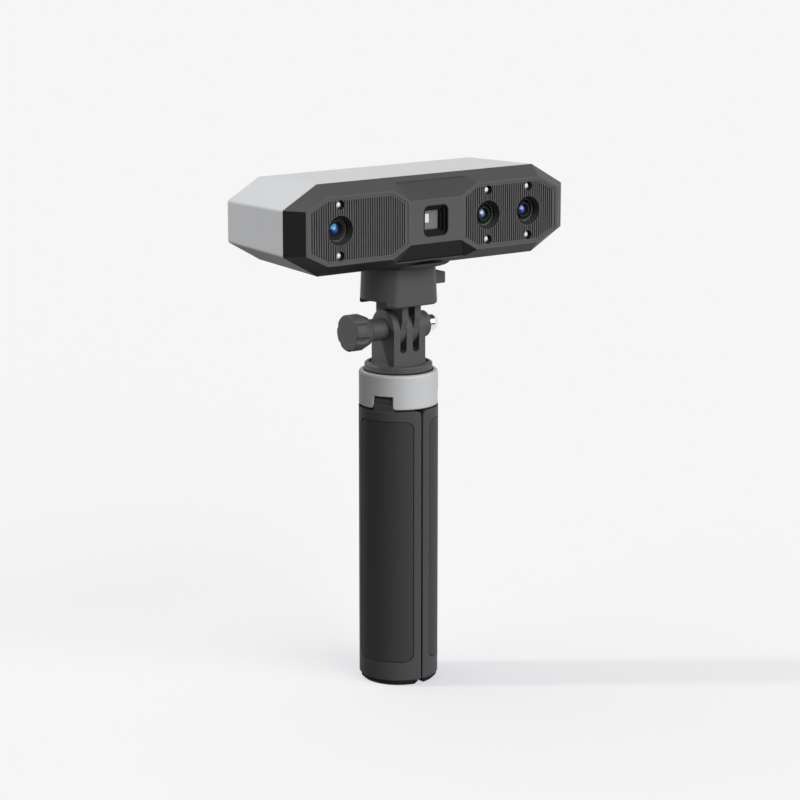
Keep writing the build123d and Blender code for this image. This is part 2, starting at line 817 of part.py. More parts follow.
# Drum of the quick-release adapter, with a front flat, the slide's pocket and two prongs below
slide_pocket_radius = slide_ring_radius + slide_clearance
spring_stop_x = spring_pocket_start_x + slide_clearance
spring_half_width = spring_radius + spring_pocket_clearance
spring_z = slide_bottom_z + spring_half_width
prong_root_z = drum_bottom_z + drum_wall
prong_taper_z = tilt_axis_z + drum_prong_taper_rise


def prong_profile(radius, half_depth, root_z, taper_z):
    """Add a prong seen from the side: straight at its root, tapered to a round end about the tilt axis."""
    with Locations((0, (root_z + taper_z) / 2)):
        Rectangle(2 * half_depth, root_z - taper_z)
    Polygon(
        (-radius, tilt_axis_z), (radius, tilt_axis_z), (half_depth, taper_z), (-half_depth, taper_z), align=None
    )
    with Locations((0, tilt_axis_z)):
        Circle(radius)


with BuildPart() as adapter_drum:
    with BuildSketch(Plane.XY.offset(drum_bottom_z)):
        Circle(drum_bottom_radius)
    with BuildSketch(Plane.XY.offset(drum_top_z)):
        Circle(drum_top_radius)
    loft()
    with BuildSketch(Plane.XY.offset(drum_bottom_z)):
        with Locations((0, -drum_flat_y - drum_bottom_radius / 2)):
            Rectangle(2 * drum_bottom_radius, drum_bottom_radius)
    extrude(amount=drum_height, mode=Mode.SUBTRACT)
    flat_edges = adapter_drum.faces().sort_by(Axis.Y)[0].edges()
    fillet(flat_edges.filter_by(lambda edge: edge.bounding_box().size.Z > drum_height / 2), drum_flat_round)
    fillet(adapter_drum.faces().sort_by(Axis.Z)[0].edges(), drum_bottom_round)
    with BuildSketch(Plane.XY.offset(drum_bottom_z)):
        with Locations((-drum_relief_x - drum_bottom_radius / 2, 0)):
            Rectangle(drum_bottom_radius, 2 * drum_relief_half_width)
    extrude(amount=drum_relief_height, mode=Mode.SUBTRACT)
    for side in (-1, 1):
        with BuildSketch(Plane.YZ.offset(side * prong_pitch / 2 - drum_prong_thickness / 2)):
            prong_profile(drum_prong_radius, drum_prong_half_depth, prong_root_z, prong_taper_z)
        extrude(amount=drum_prong_thickness)
    with BuildSketch(Plane.YZ.offset(-prong_pitch)):
        with Locations((0, tilt_axis_z)):
            Circle(bolt_radius + bolt_clearance)
    extrude(amount=2 * prong_pitch, mode=Mode.SUBTRACT)
    with BuildSketch(Plane.XY.offset(cover_bottom_z)):
        Circle(drum_top_radius - drum_wall)
        with Locations((0, -drum_flat_y + drum_wall - drum_top_radius / 2)):
            Rectangle(2 * drum_top_radius, drum_top_radius, mode=Mode.SUBTRACT)
    extrude(amount=cover_thickness, mode=Mode.SUBTRACT)
    with BuildSketch(Plane.XY.offset(slide_floor_z)):
        with Locations((slide_ring_centre_x, 0), (slide_ring_centre_x - slide_travel, 0)):
            Circle(slide_pocket_radius)
        with Locations((slide_ring_centre_x - slide_travel / 2, 0)):
            Rectangle(slide_travel, 2 * slide_pocket_radius)
        with Locations((drum_bottom_radius / 2, 0)):
            Rectangle(drum_bottom_radius, 2 * (slide_half_width + slide_clearance))
    extrude(amount=cover_bottom_z - slide_floor_z, mode=Mode.SUBTRACT)
    with BuildSketch(Plane.XY.offset(post_bottom_z - post_clearance)):
        Circle(post_radius + post_clearance)
    extrude(amount=slide_floor_z - post_bottom_z + post_clearance, mode=Mode.SUBTRACT)
    with BuildSketch(Plane.XY.offset(slide_floor_z)):
        with Locations((spring_stop_x + spring_stop_length / 2, 0)):
            Rectangle(spring_stop_length, 2 * spring_radius)
    extrude(amount=2 * spring_radius + slide_clearance)
save(adapter_drum, "adapter_drum")

with BuildPart() as drum_cover:
    with BuildSketch(Plane.XY.offset(cover_bottom_z)):
        Circle(drum_top_radius - drum_wall - cover_clearance)
        with Locations((0, -drum_flat_y + drum_wall + cover_clearance - drum_top_radius / 2)):
            Rectangle(2 * drum_top_radius, drum_top_radius, mode=Mode.SUBTRACT)
        Circle(post_radius + post_clearance, mode=Mode.SUBTRACT)
    extrude(amount=cover_thickness)
save(drum_cover, "drum_cover")

# Release button: a ring that holds the post's groove, with an arm that ends in the tab on the right
with BuildPart() as release_button:
    with BuildSketch(Plane.XY.offset(slide_bottom_z)):
        with Locations((slide_ring_centre_x, 0)):
            Circle(slide_ring_radius)
        with Locations(((slide_ring_centre_x + slide_end_x) / 2, 0)):
            Rectangle(slide_end_x - slide_ring_centre_x, 2 * slide_half_width)
        with Locations((slide_hole_centre_x, 0)):
            Circle(slide_hole_radius, mode=Mode.SUBTRACT)
    extrude(amount=slide_thickness)
    fillet(release_button.faces().sort_by(Axis.X)[-1].edges(), tab_edge_round)
    with BuildSketch(Plane.XY.offset(slide_bottom_z)):
        with Locations(((spring_pocket_start_x + spring_pocket_end_x) / 2, 0)):
            Rectangle(spring_pocket_end_x - spring_pocket_start_x, 2 * spring_half_width)
    extrude(amount=2 * spring_half_width, mode=Mode.SUBTRACT)
save(release_button, "release_button")

with BuildPart() as release_spring:
    spring_start_x = spring_stop_x + spring_stop_length
    with BuildSketch(Plane.YZ.offset(spring_start_x)):
        with Locations((0, spring_z)):
            Circle(spring_radius)
            Circle(spring_radius - spring_wire, mode=Mode.SUBTRACT)
    extrude(amount=spring_pocket_end_x - spring_start_x)
save(release_spring, "release_spring")

# Tilt base: a disc and a pedestal with three prongs, and a boss that holds the nut
slot_width = prong_pitch - base_prong_thickness
slot_bottom_z = tilt_axis_z - slot_depth_below_axis
slot_top_z = tilt_axis_z + base_prong_radius
nut_seat_x = boss_end_x - nut_hex_depth
with BuildPart() as tilt_base:
    with BuildSketch(Plane.XY.offset(disc_bottom_z)):
        Circle(disc_radius)
    extrude(amount=disc_thickness)
    chamfer(tilt_base.faces().sort_by(Axis.Z)[-1].edges(), disc_top_chamfer)
    with BuildSketch(Plane.XY.offset(disc_top_z)):
        Circle(disc_radius - disc_rim_width)
    extrude(amount=-disc_dish_depth, mode=Mode.SUBTRACT)
    with BuildSketch(Plane.YZ.offset(-base_half_width)):
        with Locations((0, (disc_top_z - disc_dish_depth + tilt_axis_z) / 2)):
            Rectangle(2 * base_prong_radius, tilt_axis_rise + disc_dish_depth)
        with Locations((0, tilt_axis_z)):
            Circle(base_prong_radius)
    extrude(amount=2 * base_half_width)
    with BuildSketch(Plane.YZ.offset(base_half_width)):
        with Locations((0, tilt_axis_z)):
            Circle(boss_radius)
    extrude(amount=boss_length)
    for side in (-1, 1):
        with BuildSketch(Plane.XZ.offset(base_prong_radius)):
            with Locations((side * prong_pitch / 2, (slot_bottom_z + slot_width / 2 + slot_top_z) / 2)):
                Rectangle(slot_width, slot_top_z - slot_bottom_z - slot_width / 2)
            with Locations((side * prong_pitch / 2, slot_bottom_z + slot_width / 2)):
                Circle(slot_width / 2)
        extrude(amount=-2 * base_prong_radius, mode=Mode.SUBTRACT)
    with BuildSketch(Plane.YZ.offset(-base_half_width)):
        with Locations((0, tilt_axis_z)):
            Circle(bolt_radius + bolt_clearance)
    extrude(amount=base_half_width + boss_end_x, mode=Mode.SUBTRACT)
    with BuildSketch(Plane.YZ.offset(nut_seat_x)):
        with Locations((0, tilt_axis_z)):
            RegularPolygon(nut_across_flats / 2 + nut_clearance, 6, major_radius=False)
    extrude(amount=nut_hex_depth, mode=Mode.SUBTRACT)
    with BuildSketch(Plane.XY.offset(disc_bottom_z)):
        Circle(pole_stud_radius + thread_clearance)
    extrude(amount=pole_stud_length, mode=Mode.SUBTRACT)
save(tilt_base, "tilt_base")

with BuildPart() as acorn_nut:
    with BuildSketch(Plane.YZ.offset(boss_end_x)):
        with Locations((0, tilt_axis_z)):
            Circle(nut_across_flats / 2)
    extrude(amount=nut_dome_length)
    fillet(acorn_nut.faces().sort_by(Axis.X)[-1].edges(), nut_dome_round)
    with BuildSketch(Plane.YZ.offset(nut_seat_x)):
        with Locations((0, tilt_axis_z)):
            RegularPolygon(nut_across_flats / 2, 6, major_radius=False)
    extrude(amount=nut_hex_depth)
    with BuildSketch(Plane.YZ.offset(nut_seat_x)):
        with Locations((0, tilt_axis_z)):
            Circle(bolt_radius + bolt_clearance)
    extrude(amount=nut_hex_depth + bolt_nut_reach + bolt_clearance, mode=Mode.SUBTRACT)
save(acorn_nut, "acorn_nut")

# Clamp knob: a fluted grip that tapers to a shank, turned about the tilt axis, on the clamp bolt
knob_grip_end_x = knob_face_x + knob_grip_length
knob_taper_end_x = knob_grip_end_x + knob_taper_length
knob_cone_end_x = knob_taper_end_x + knob_cone_length
knob_end_x = -base_half_width - knob_gap
with BuildPart() as clamp_knob:
    with BuildSketch(Plane(origin=(0, 0, tilt_axis_z), x_dir=(1, 0, 0), z_dir=(0, -1, 0))):
        with BuildLine():
            Polyline(
                (knob_face_x, 0), (knob_face_x, knob_radius), (knob_grip_end_x, knob_radius),
                (knob_taper_end_x, knob_taper_radius), (knob_cone_end_x, knob_neck_radius),
                (knob_cone_end_x, knob_shank_radius), (knob_end_x, knob_shank_radius), (knob_end_x, 0),
                close=True,
            )
        make_face()
    revolve(axis=Axis((0, 0, tilt_axis_z), (1, 0, 0)))
    fillet(clamp_knob.faces().sort_by(Axis.X)[0].edges(), knob_edge_round)
    with BuildSketch(Plane(origin=(knob_face_x, 0, tilt_axis_z), x_dir=(0, 1, 0), z_dir=(1, 0, 0))):
        with PolarLocations(knob_radius + knob_flute_radius - knob_flute_depth, knob_flutes, knob_flute_turn):
            Circle(knob_flute_radius)
    extrude(amount=knob_cone_end_x - knob_face_x, mode=Mode.SUBTRACT)
    with BuildSketch(Plane.YZ.offset(knob_end_x)):
        with Locations((0, tilt_axis_z)):
            Circle(bolt_radius + thread_clearance)
    extrude(amount=-knob_bolt_depth, mode=Mode.SUBTRACT)
save(clamp_knob, "clamp_knob")

with BuildPart() as clamp_bolt:
    with BuildSketch(Plane.YZ.offset(knob_end_x - knob_bolt_depth)):
        with Locations((0, tilt_axis_z)):
            Circle(bolt_radius)
    extrude(amount=knob_bolt_depth - knob_end_x + boss_end_x + bolt_nut_reach)
save(clamp_bolt, "clamp_bolt")


def leg_level_plane(angle, z):
    """Level plane at height z, turned so that its x axis points out through the middle of a leg."""
    turn = math.radians(angle)
    return Plane(origin=(0, 0, z), x_dir=(math.cos(turn), math.sin(turn), 0), z_dir=(0, 0, 1))


def leg_side_plane(angle):
    """Upright plane through the handle's axis and a leg's middle: x points outwards and y up."""
    turn = math.radians(angle)
    outwards = (math.cos(turn), math.sin(turn), 0)
    return Plane(origin=(0, 0, 0), x_dir=outwards, z_dir=(math.sin(turn), -math.cos(turn), 0))


def leg_face_plane(angle):
    """Upright plane that faces out through a leg's middle: x runs across the leg and y up."""
    turn = math.radians(angle)
    across = (-math.sin(turn), math.cos(turn), 0)
    return Plane(origin=(0, 0, 0), x_dir=across, z_dir=(math.cos(turn), math.sin(turn), 0))


def leg_wedge(edge_gap, mode=Mode.ADD):
    """The third of a circle that one leg fills, with its two sides the gap short of the seams."""
    half_angle = math.radians(180 / len(leg_names))
    apex_x = edge_gap / math.sin(half_angle)
    far_x = apex_x + 2 * leg_radius * math.cos(half_angle)
    far_y = 2 * leg_radius * math.sin(half_angle)
    Polygon(
        (apex_x, 0), (far_x, -far_y), (4 * leg_radius, -far_y), (4 * leg_radius, far_y), (far_x, far_y),
        align=None, mode=mode,
    )


def leg_slice(amount):
    """Add a level slice through a leg with every side moved in by the amount."""
    Circle(leg_radius - amount)
    Circle(leg_inner_radius + amount, mode=Mode.SUBTRACT)
    leg_wedge(leg_seam_gap / 2 + amount, Mode.INTERSECT)


def grip_blank(angle, spare):
    """Curved plate on the outside of a leg with round corners, larger by the spare on its inner sides."""
    height = grip_top_z - grip_bottom_z + 2 * spare
    with BuildPart() as blank:
        with BuildSketch(leg_level_plane(angle, grip_bottom_z - spare)):
            Circle(leg_radius)
            Circle(leg_radius - grip_depth, mode=Mode.SUBTRACT)
        extrude(amount=height)
        with BuildSketch(leg_face_plane(angle)):
            with Locations((0, (grip_top_z + grip_bottom_z) / 2)):
                RectangleRounded(2 * (grip_half_width + spare), height, grip_corner_round)
        extrude(amount=2 * leg_radius, mode=Mode.INTERSECT)
    return blank.part


# Collar: the ring that holds the leg hinges and the pole's sleeve
notch_top_z = hinge_z + tongue_radius + notch_top_clearance
notch_inner_x = hinge_radius - tongue_radius - notch_back_clearance
notch_width = tongue_width + 2 * notch_side_clearance
sleeve_top_z = disc_bottom_z - disc_seat_clearance
with BuildPart() as collar:
    with BuildSketch(Plane.XY.offset(collar_bottom_z)):
        Circle(collar_radius)
    extrude(amount=collar_height)
    fillet(collar.faces().sort_by(Axis.Z)[-1].edges(), collar_top_round)
    chamfer(collar.faces().sort_by(Axis.Z)[0].edges(), collar_bottom_chamfer)
    with BuildSketch(Plane.XY.offset(disc_bottom_z)):
        Circle(disc_radius + disc_seat_clearance)
    extrude(amount=collar_seat_depth, mode=Mode.SUBTRACT)
    with BuildSketch(Plane.XY.offset(collar_bottom_z)):
        Circle(sleeve_radius + sleeve_seat_clearance)
    extrude(amount=collar_height, mode=Mode.SUBTRACT)
    for angle in leg_names.values():
        with BuildSketch(leg_face_plane(angle).offset(notch_inner_x)) as notch:
            with Locations((0, (collar_bottom_z + notch_top_z) / 2)):
                Rectangle(notch_width, notch_top_z - collar_bottom_z)
            with Locations((0, collar_bottom_z - notch_mouth_spare / 2)):
                Rectangle(notch_width + 2 * notch_mouth_spare, notch_mouth_spare)
            fillet(notch.vertices().group_by(Axis.Y)[1].sort_by(Axis.X)[1:3], notch_mouth_round)
        extrude(amount=collar_radius, mode=Mode.SUBTRACT)
        with BuildSketch(leg_side_plane(angle)):
            with Locations((hinge_radius, hinge_z)):
                Circle(hinge_pin_radius + pin_seat_clearance)
        extrude(amount=hinge_pin_length / 2 + pin_seat_clearance, both=True, mode=Mode.SUBTRACT)
save(collar, "collar")

with BuildPart() as hinge_pins:
    for angle in leg_names.values():
        with BuildSketch(leg_side_plane(angle)):
            with Locations((hinge_radius, hinge_z)):
                Circle(hinge_pin_radius)
        extrude(amount=hinge_pin_length / 2, both=True)
save(hinge_pins, "hinge_pins")

# Pole: a tube that slides in its sleeve and carries the tilt base on a stud
with BuildPart() as pole_sleeve:
    with BuildSketch(Plane.XY.offset(sleeve_top_z - sleeve_length)):
        Circle(sleeve_radius)
        Circle(pole_radius + pole_clearance, mode=Mode.SUBTRACT)
    extrude(amount=sleeve_length)
save(pole_sleeve, "pole_sleeve")

with BuildPart() as pole:
    with BuildSketch(Plane.XY.offset(disc_bottom_z - pole_length)):
        Circle(pole_radius)
    extrude(amount=pole_length)
    with BuildSketch(Plane.XY.offset(disc_bottom_z - pole_length)):
        Circle(pole_radius - pole_wall)
    extrude(amount=pole_length - pole_stud_length, mode=Mode.SUBTRACT)
    with BuildSketch(Plane.XY.offset(disc_bottom_z)):
        Circle(pole_stud_radius)
    extrude(amount=pole_stud_length - thread_clearance)
save(pole, "pole")

# Legs: thirds of a tube with a hinge tongue on top, a grip pad let into the outside and a rubber foot below
for name, angle in leg_names.items():
    grip_pocket = grip_blank(angle, grip_clearance)
    with BuildPart() as leg:
        with BuildSketch(leg_level_plane(angle, foot_height)):
            Circle(leg_radius)
        extrude(amount=leg_top_z - foot_height)
        chamfer(leg.faces().sort_by(Axis.Z)[0].edges(), leg_bottom_chamfer)
        with BuildSketch(leg_level_plane(angle, foot_height)):
            Circle(leg_inner_radius)
        extrude(amount=leg_top_z, mode=Mode.SUBTRACT)
        with BuildSketch(leg_level_plane(angle, 0)):
            leg_wedge(leg_seam_gap / 2)
        extrude(amount=leg_top_z, mode=Mode.INTERSECT)
        fillet(leg.faces().sort_by(Axis.Z)[-1].edges().filter_by(GeomType.LINE), leg_corner_round)
        with BuildSketch(leg_side_plane(angle)):
            with Locations((hinge_radius, hinge_z - hinge_rise)):
                Rectangle(2 * tongue_radius, 2 * hinge_rise)
            with Locations(((hinge_radius + tongue_apron_x) / 2, leg_top_z)):
                Rectangle(tongue_apron_x - hinge_radius, 2 * tongue_apron_height)
            with Locations((hinge_radius, hinge_z)):
                Circle(tongue_radius)
        extrude(amount=tongue_width / 2, both=True)
        with BuildSketch(leg_side_plane(angle)):
            with Locations((hinge_radius, hinge_z)):
                Circle(hinge_pin_radius + hinge_clearance)
        extrude(amount=tongue_width / 2, both=True, mode=Mode.SUBTRACT)
        with BuildSketch(leg_level_plane(angle, foot_height)):
            leg_slice(foot_margin - foot_clearance)
        extrude(amount=foot_plug_depth + foot_clearance, mode=Mode.SUBTRACT)
        add(grip_pocket, mode=Mode.SUBTRACT)
    save(leg, name)

    with BuildPart() as grip:
        add(grip_blank(angle, 0))
    save(grip, name.replace("leg", "grip"))

    with BuildPart() as foot:
        with BuildSketch(leg_level_plane(angle, 0)):
            leg_slice(foot_step)
        extrude(amount=foot_height)
        fillet(foot.edges().filter_by(Axis.Z), foot_corner_round)
        chamfer(foot.faces().sort_by(Axis.Z)[0].edges(), foot_chamfer)
        with BuildSketch(leg_level_plane(angle, foot_height)):
            leg_slice(foot_margin)
        extrude(amount=foot_plug_depth)
    save(foot, name.replace("leg", "foot"))
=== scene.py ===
"""Looks of a handheld three-d scanner on a folding tripod handle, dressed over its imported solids."""
import json

import bpy
import numpy as np
from mathutils import Matrix, Vector


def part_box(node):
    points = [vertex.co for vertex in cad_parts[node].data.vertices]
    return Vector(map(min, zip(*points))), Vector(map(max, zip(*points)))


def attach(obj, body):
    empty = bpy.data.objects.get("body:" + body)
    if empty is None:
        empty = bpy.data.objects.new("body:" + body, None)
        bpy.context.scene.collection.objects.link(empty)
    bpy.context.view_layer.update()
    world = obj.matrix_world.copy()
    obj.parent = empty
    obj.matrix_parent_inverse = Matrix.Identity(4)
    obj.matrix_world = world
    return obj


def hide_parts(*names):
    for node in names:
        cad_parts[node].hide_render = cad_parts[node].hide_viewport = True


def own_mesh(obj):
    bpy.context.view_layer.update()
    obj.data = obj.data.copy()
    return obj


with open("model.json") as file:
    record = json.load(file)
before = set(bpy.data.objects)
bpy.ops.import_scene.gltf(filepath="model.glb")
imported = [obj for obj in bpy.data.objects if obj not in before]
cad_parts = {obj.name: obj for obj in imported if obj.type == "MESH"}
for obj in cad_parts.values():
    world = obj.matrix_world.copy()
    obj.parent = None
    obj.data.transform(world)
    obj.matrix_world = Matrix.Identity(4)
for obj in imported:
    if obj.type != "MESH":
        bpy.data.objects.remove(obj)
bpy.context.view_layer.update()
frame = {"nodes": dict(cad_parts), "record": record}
nodes = frame["nodes"]
mm = 0.001

# Camera: fitted to the photograph, in metres from the foot of the handle's axis
camera_right = Vector((0.8057, -0.5923, 0.0))
camera_up = Vector((0.1267, 0.1724, 0.9768))
camera_back = Vector((-0.5786, -0.7870, 0.2140))
camera_place = Vector((-0.5935, -0.8084, 0.3330))
camera_lens = 117.0
camera_sensor = 36.0
camera_clip = (0.05, 60.0)

# Studio: a pale floor and backdrop, whose mirror images fade out on the camera's side, and four lamps
backdrop_white = (0.896, 0.896, 0.902, 1.0)
room_level = 0.08
room_fade = (0.75, 0.97)
floor_reach = 14.0
floor_fade = (0.03, 0.2)
floor_glow = (0.513, 0.513, 0.587, 1.0)
floor_colour = (0.32, 0.32, 0.26, 1.0)
bounce_colour = (0.1, 0.1, 0.1, 1.0)
handle_bodies = ("collar", "front_left_leg", "front_right_leg", "rear_leg")
lamps = {
    "front_lamp": {"towards": (0.16, -0.9, 0.38), "spread": 64.0, "level": 1.1},
    "top_lamp": {"towards": (-0.1, 0.35, 0.93), "spread": 60.0, "level": 0.4},
    "left_lamp": {"towards": (-0.72, 0.5, 0.48), "spread": 5.0, "level": 0.53, "flagged": handle_bodies},
    "left_fill_lamp": {"towards": (-0.74, 0.38, 0.55), "spread": 80.0, "level": 0.25,
                       "flagged": handle_bodies},
}

# Release spring: wound wire on a fixed seat, shortened by the button's travel
spring_wire = 0.2 * mm
spring_turns = 6.5
spring_steps = 420
wire_sides = 10
spring_end_gap = 0.12 * mm

# Inlet: the tongue's ends are measured inwards from the socket's mouth
tongue_half = np.array((3.2, 0.0, 0.35)) * mm
tongue_root = 5.5 * mm
tongue_tip = 0.7 * mm
tongue_soften = 0.1 * mm
contact_places = np.linspace(-2.5, 2.5, 6) * mm
contact_half_width = 0.2 * mm
contact_rise = 0.06 * mm
contact_setback = 0.8 * mm
contact_soften = 0.04 * mm
contact_sides = 16

# Painted shadow gap under the disc's edge, a thin dark ring standing in for shade: across from the disc's
# radius, up from the collar's rim
disc_radius = 13.4 * mm
shade_ring_bite = 0.1 * mm
shade_ring_lip = 0.4 * mm
shade_ring_lift = 0.02 * mm
shade_ring_shoulder = 0.3 * mm
shade_ring_crest = 0.55 * mm
shade_ring_sides = 128

# Painted glint on the projector's pane, a small white glowing block standing in for a highlight: its edges,
# from the middle of the projector's pane and from the pane's front
pane_glint_left = -2.6 * mm
pane_glint_right = -0.8 * mm
pane_glint_bottom = -1.1 * mm
pane_glint_top = 2.4 * mm
pane_glint_proud = 0.05 * mm
pane_glint_depth = 0.3 * mm
pane_glint_soften = 0.02 * mm

# Lens coatings, painted as a coloured reflection and a lighter glint: places and sizes as shares of the
# glass's radius
lens_body = (0.004, 0.005, 0.012)
reflection_shift = np.array((-0.15, 0.0, 0.0))
reflection_size = 0.9
glint_shift = np.array((-0.35, 0.0, 0.22))
glint_size = 0.45

# Printed button marks
sign_reach = 1.5 * mm
ring_radius = 3.6 * mm
print_colour = (0.62, 0.62, 0.63, 1.0)


def add_node(tree, kind, inputs=None, **settings):
    """Adds a node to a tree, with its settings and the values of its named or numbered inputs."""
    made = tree.nodes.new(kind)
    for setting, value in settings.items():
        setattr(made, setting, value)
    for socket, value in (inputs or {}).items():
        made.inputs[socket].default_value = value
    return made


def join(tree, source, target):
    """Links an output socket to an input socket."""
    tree.links.new(source, target)


def new_group(name, inputs, outputs):
    """Starts a shader node group with named inputs (kind and default value) and named outputs (kind)."""
    group = bpy.data.node_groups.new(name, "ShaderNodeTree")
    for socket, (kind, value) in inputs.items():
        made = group.interface.new_socket(socket, in_out="INPUT", socket_type=kind)
        made.default_value = value
    for socket, kind in outputs.items():
        group.interface.new_socket(socket, in_out="OUTPUT", socket_type=kind)
    return group, add_node(group, "NodeGroupInput"), add_node(group, "NodeGroupOutput")


def make_soft_edge_group():
    """Rounds the light on sharp edges, and gives a mask that is one on an edge and nought on a flat face."""
    group, given, out = new_group(
        "soft_edges", {"Radius": ("NodeSocketFloat", 0.0003)},
        {"Normal": "NodeSocketVector", "Edge": "NodeSocketFloat"},
    )
    rounding = add_node(group, "ShaderNodeBevel", samples=6)
    flat = add_node(group, "ShaderNodeNewGeometry")
    alike = add_node(group, "ShaderNodeVectorMath", operation="DOT_PRODUCT")
    mask = add_node(group, "ShaderNodeMapRange", {"From Min": 0.995, "From Max": 0.80})
    join(group, given.outputs["Radius"], rounding.inputs["Radius"])
    join(group, rounding.outputs["Normal"], alike.inputs[0])
    join(group, flat.outputs["True Normal"], alike.inputs[1])
    join(group, alike.outputs["Value"], mask.inputs["Value"])
    join(group, rounding.outputs["Normal"], out.inputs["Normal"])
    join(group, mask.outputs["Result"], out.inputs["Edge"])
    return group


def make_grain_group():
    """Spark-eroded mould texture: a fine pebble height, and a slow cloudy mask for handling marks."""
    group, given, out = new_group(
        "mould_grain",
        {"Grain Size": ("NodeSocketFloat", 0.0004), "Cloud Size": ("NodeSocketFloat", 0.02)},
        {"Pebble": "NodeSocketFloat", "Cloud": "NodeSocketFloat"},
    )
    place = add_node(group, "ShaderNodeTexCoord")
    grain_scale = add_node(group, "ShaderNodeMath", {0: 1.0}, operation="DIVIDE")
    cloud_scale = add_node(group, "ShaderNodeMath", {0: 1.0}, operation="DIVIDE")
    pebble = add_node(group, "ShaderNodeTexNoise", {"Detail": 2.0, "Roughness": 0.6})
    cloud = add_node(group, "ShaderNodeTexNoise", {"Detail": 5.0, "Roughness": 0.62, "Distortion": 0.6})
    join(group, given.outputs["Grain Size"], grain_scale.inputs[1])
    join(group, given.outputs["Cloud Size"], cloud_scale.inputs[1])
    for texture, scale in ((pebble, grain_scale), (cloud, cloud_scale)):
        join(group, place.outputs["Object"], texture.inputs["Vector"])
        join(group, scale.outputs["Value"], texture.inputs["Scale"])
    join(group, pebble.outputs["Fac"], out.inputs["Pebble"])
    join(group, cloud.outputs["Fac"], out.inputs["Cloud"])
    return group


def make_tool_mark_group():
    """Marks of a cutting tool: noise drawn out along chosen axes, as streaks or rings on turned metal."""
    group, given, out = new_group(
        "tool_marks", {"Stretch": ("NodeSocketVector", (400.0, 400.0, 8000.0))},
        {"Streak": "NodeSocketFloat"},
    )
    place = add_node(group, "ShaderNodeTexCoord")
    drawn = add_node(group, "ShaderNodeVectorMath", operation="MULTIPLY")
    streak = add_node(group, "ShaderNodeTexNoise", {"Scale": 1.0, "Detail": 3.0, "Roughness": 0.55})
    join(group, place.outputs["Object"], drawn.inputs[0])
    join(group, given.outputs["Stretch"], drawn.inputs[1])
    join(group, drawn.outputs["Vector"], streak.inputs["Vector"])
    join(group, streak.outputs["Fac"], out.inputs["Streak"])
    return group


def make_board_group():
    """Circuit board pattern over the board's x and z: masks of copper tracks and of round tinned pads."""
    group, given, out = new_group(
        "board_tracks", {"Track Pitch": ("NodeSocketFloat", 0.002)},
        {"Track": "NodeSocketFloat", "Pad": "NodeSocketFloat"},
    )
    place = add_node(group, "ShaderNodeTexCoord")
    axes = add_node(group, "ShaderNodeSeparateXYZ")
    plane = add_node(group, "ShaderNodeCombineXYZ")
    scale = add_node(group, "ShaderNodeMath", {0: 1.0}, operation="DIVIDE")
    tracks = add_node(group, "ShaderNodeTexBrick",
                      {"Mortar Size": 0.06, "Brick Width": 1.7, "Row Height": 0.4})
    pads = add_node(group, "ShaderNodeTexVoronoi", {"Randomness": 0.7})
    pad_edge = add_node(group, "ShaderNodeMapRange", {"From Min": 0.2, "From Max": 0.17})
    join(group, place.outputs["Object"], axes.inputs["Vector"])
    join(group, axes.outputs["X"], plane.inputs["X"])
    join(group, axes.outputs["Z"], plane.inputs["Y"])
    join(group, given.outputs["Track Pitch"], scale.inputs[1])
    for texture in (tracks, pads):
        join(group, plane.outputs["Vector"], texture.inputs["Vector"])
        join(group, scale.outputs["Value"], texture.inputs["Scale"])
    join(group, pads.outputs["Distance"], pad_edge.inputs["Value"])
    join(group, tracks.outputs["Fac"], out.inputs["Track"])
    join(group, pad_edge.outputs["Result"], out.inputs["Pad"])
    return group


def make_print_group():
    """Printed button marks about a centre, seen along y: a level bar, an upright bar and a ring."""
    group, given, out = new_group(
        "button_print",
        {"Centre": ("NodeSocketVector", (0.0, 0.0, 0.0)), "Reach": ("NodeSocketFloat", 0.0015),
         "Half Line": ("NodeSocketFloat", 0.00025)},
        {"Level": "NodeSocketFloat", "Upright": "NodeSocketFloat", "Ring": "NodeSocketFloat"},
    )
    place = add_node(group, "ShaderNodeTexCoord")
    offset = add_node(group, "ShaderNodeVectorMath", operation="SUBTRACT")
    size = add_node(group, "ShaderNodeVectorMath", operation="ABSOLUTE")
    axes = add_node(group, "ShaderNodeSeparateXYZ")
    flat = add_node(group, "ShaderNodeCombineXYZ")
    radius = add_node(group, "ShaderNodeVectorMath", operation="LENGTH")
    off_ring = add_node(group, "ShaderNodeMath", operation="SUBTRACT")
    off_ring_size = add_node(group, "ShaderNodeMath", operation="ABSOLUTE")
    ring = add_node(group, "ShaderNodeMath", operation="LESS_THAN")
    join(group, place.outputs["Object"], offset.inputs[0])
    join(group, given.outputs["Centre"], offset.inputs[1])
    join(group, offset.outputs["Vector"], size.inputs[0])
    join(group, size.outputs["Vector"], axes.inputs["Vector"])
    for along, across, mark in (("X", "Z", "Level"), ("Z", "X", "Upright")):
        within = add_node(group, "ShaderNodeMath", operation="LESS_THAN")
        narrow = add_node(group, "ShaderNodeMath", operation="LESS_THAN")
        both = add_node(group, "ShaderNodeMath", operation="MULTIPLY")
        join(group, axes.outputs[along], within.inputs[0])
        join(group, given.outputs["Reach"], within.inputs[1])
        join(group, axes.outputs[across], narrow.inputs[0])
        join(group, given.outputs["Half Line"], narrow.inputs[1])
        join(group, within.outputs["Value"], both.inputs[0])
        join(group, narrow.outputs["Value"], both.inputs[1])
        join(group, both.outputs["Value"], out.inputs[mark])
    join(group, axes.outputs["X"], flat.inputs["X"])
    join(group, axes.outputs["Z"], flat.inputs["Z"])
    join(group, flat.outputs["Vector"], radius.inputs[0])
    join(group, radius.outputs["Value"], off_ring.inputs[0])
    join(group, given.outputs["Reach"], off_ring.inputs[1])
    join(group, off_ring.outputs["Value"], off_ring_size.inputs[0])
    join(group, off_ring_size.outputs["Value"], ring.inputs[0])
    join(group, given.outputs["Half Line"], ring.inputs[1])
    join(group, ring.outputs["Value"], out.inputs["Ring"])
    return group


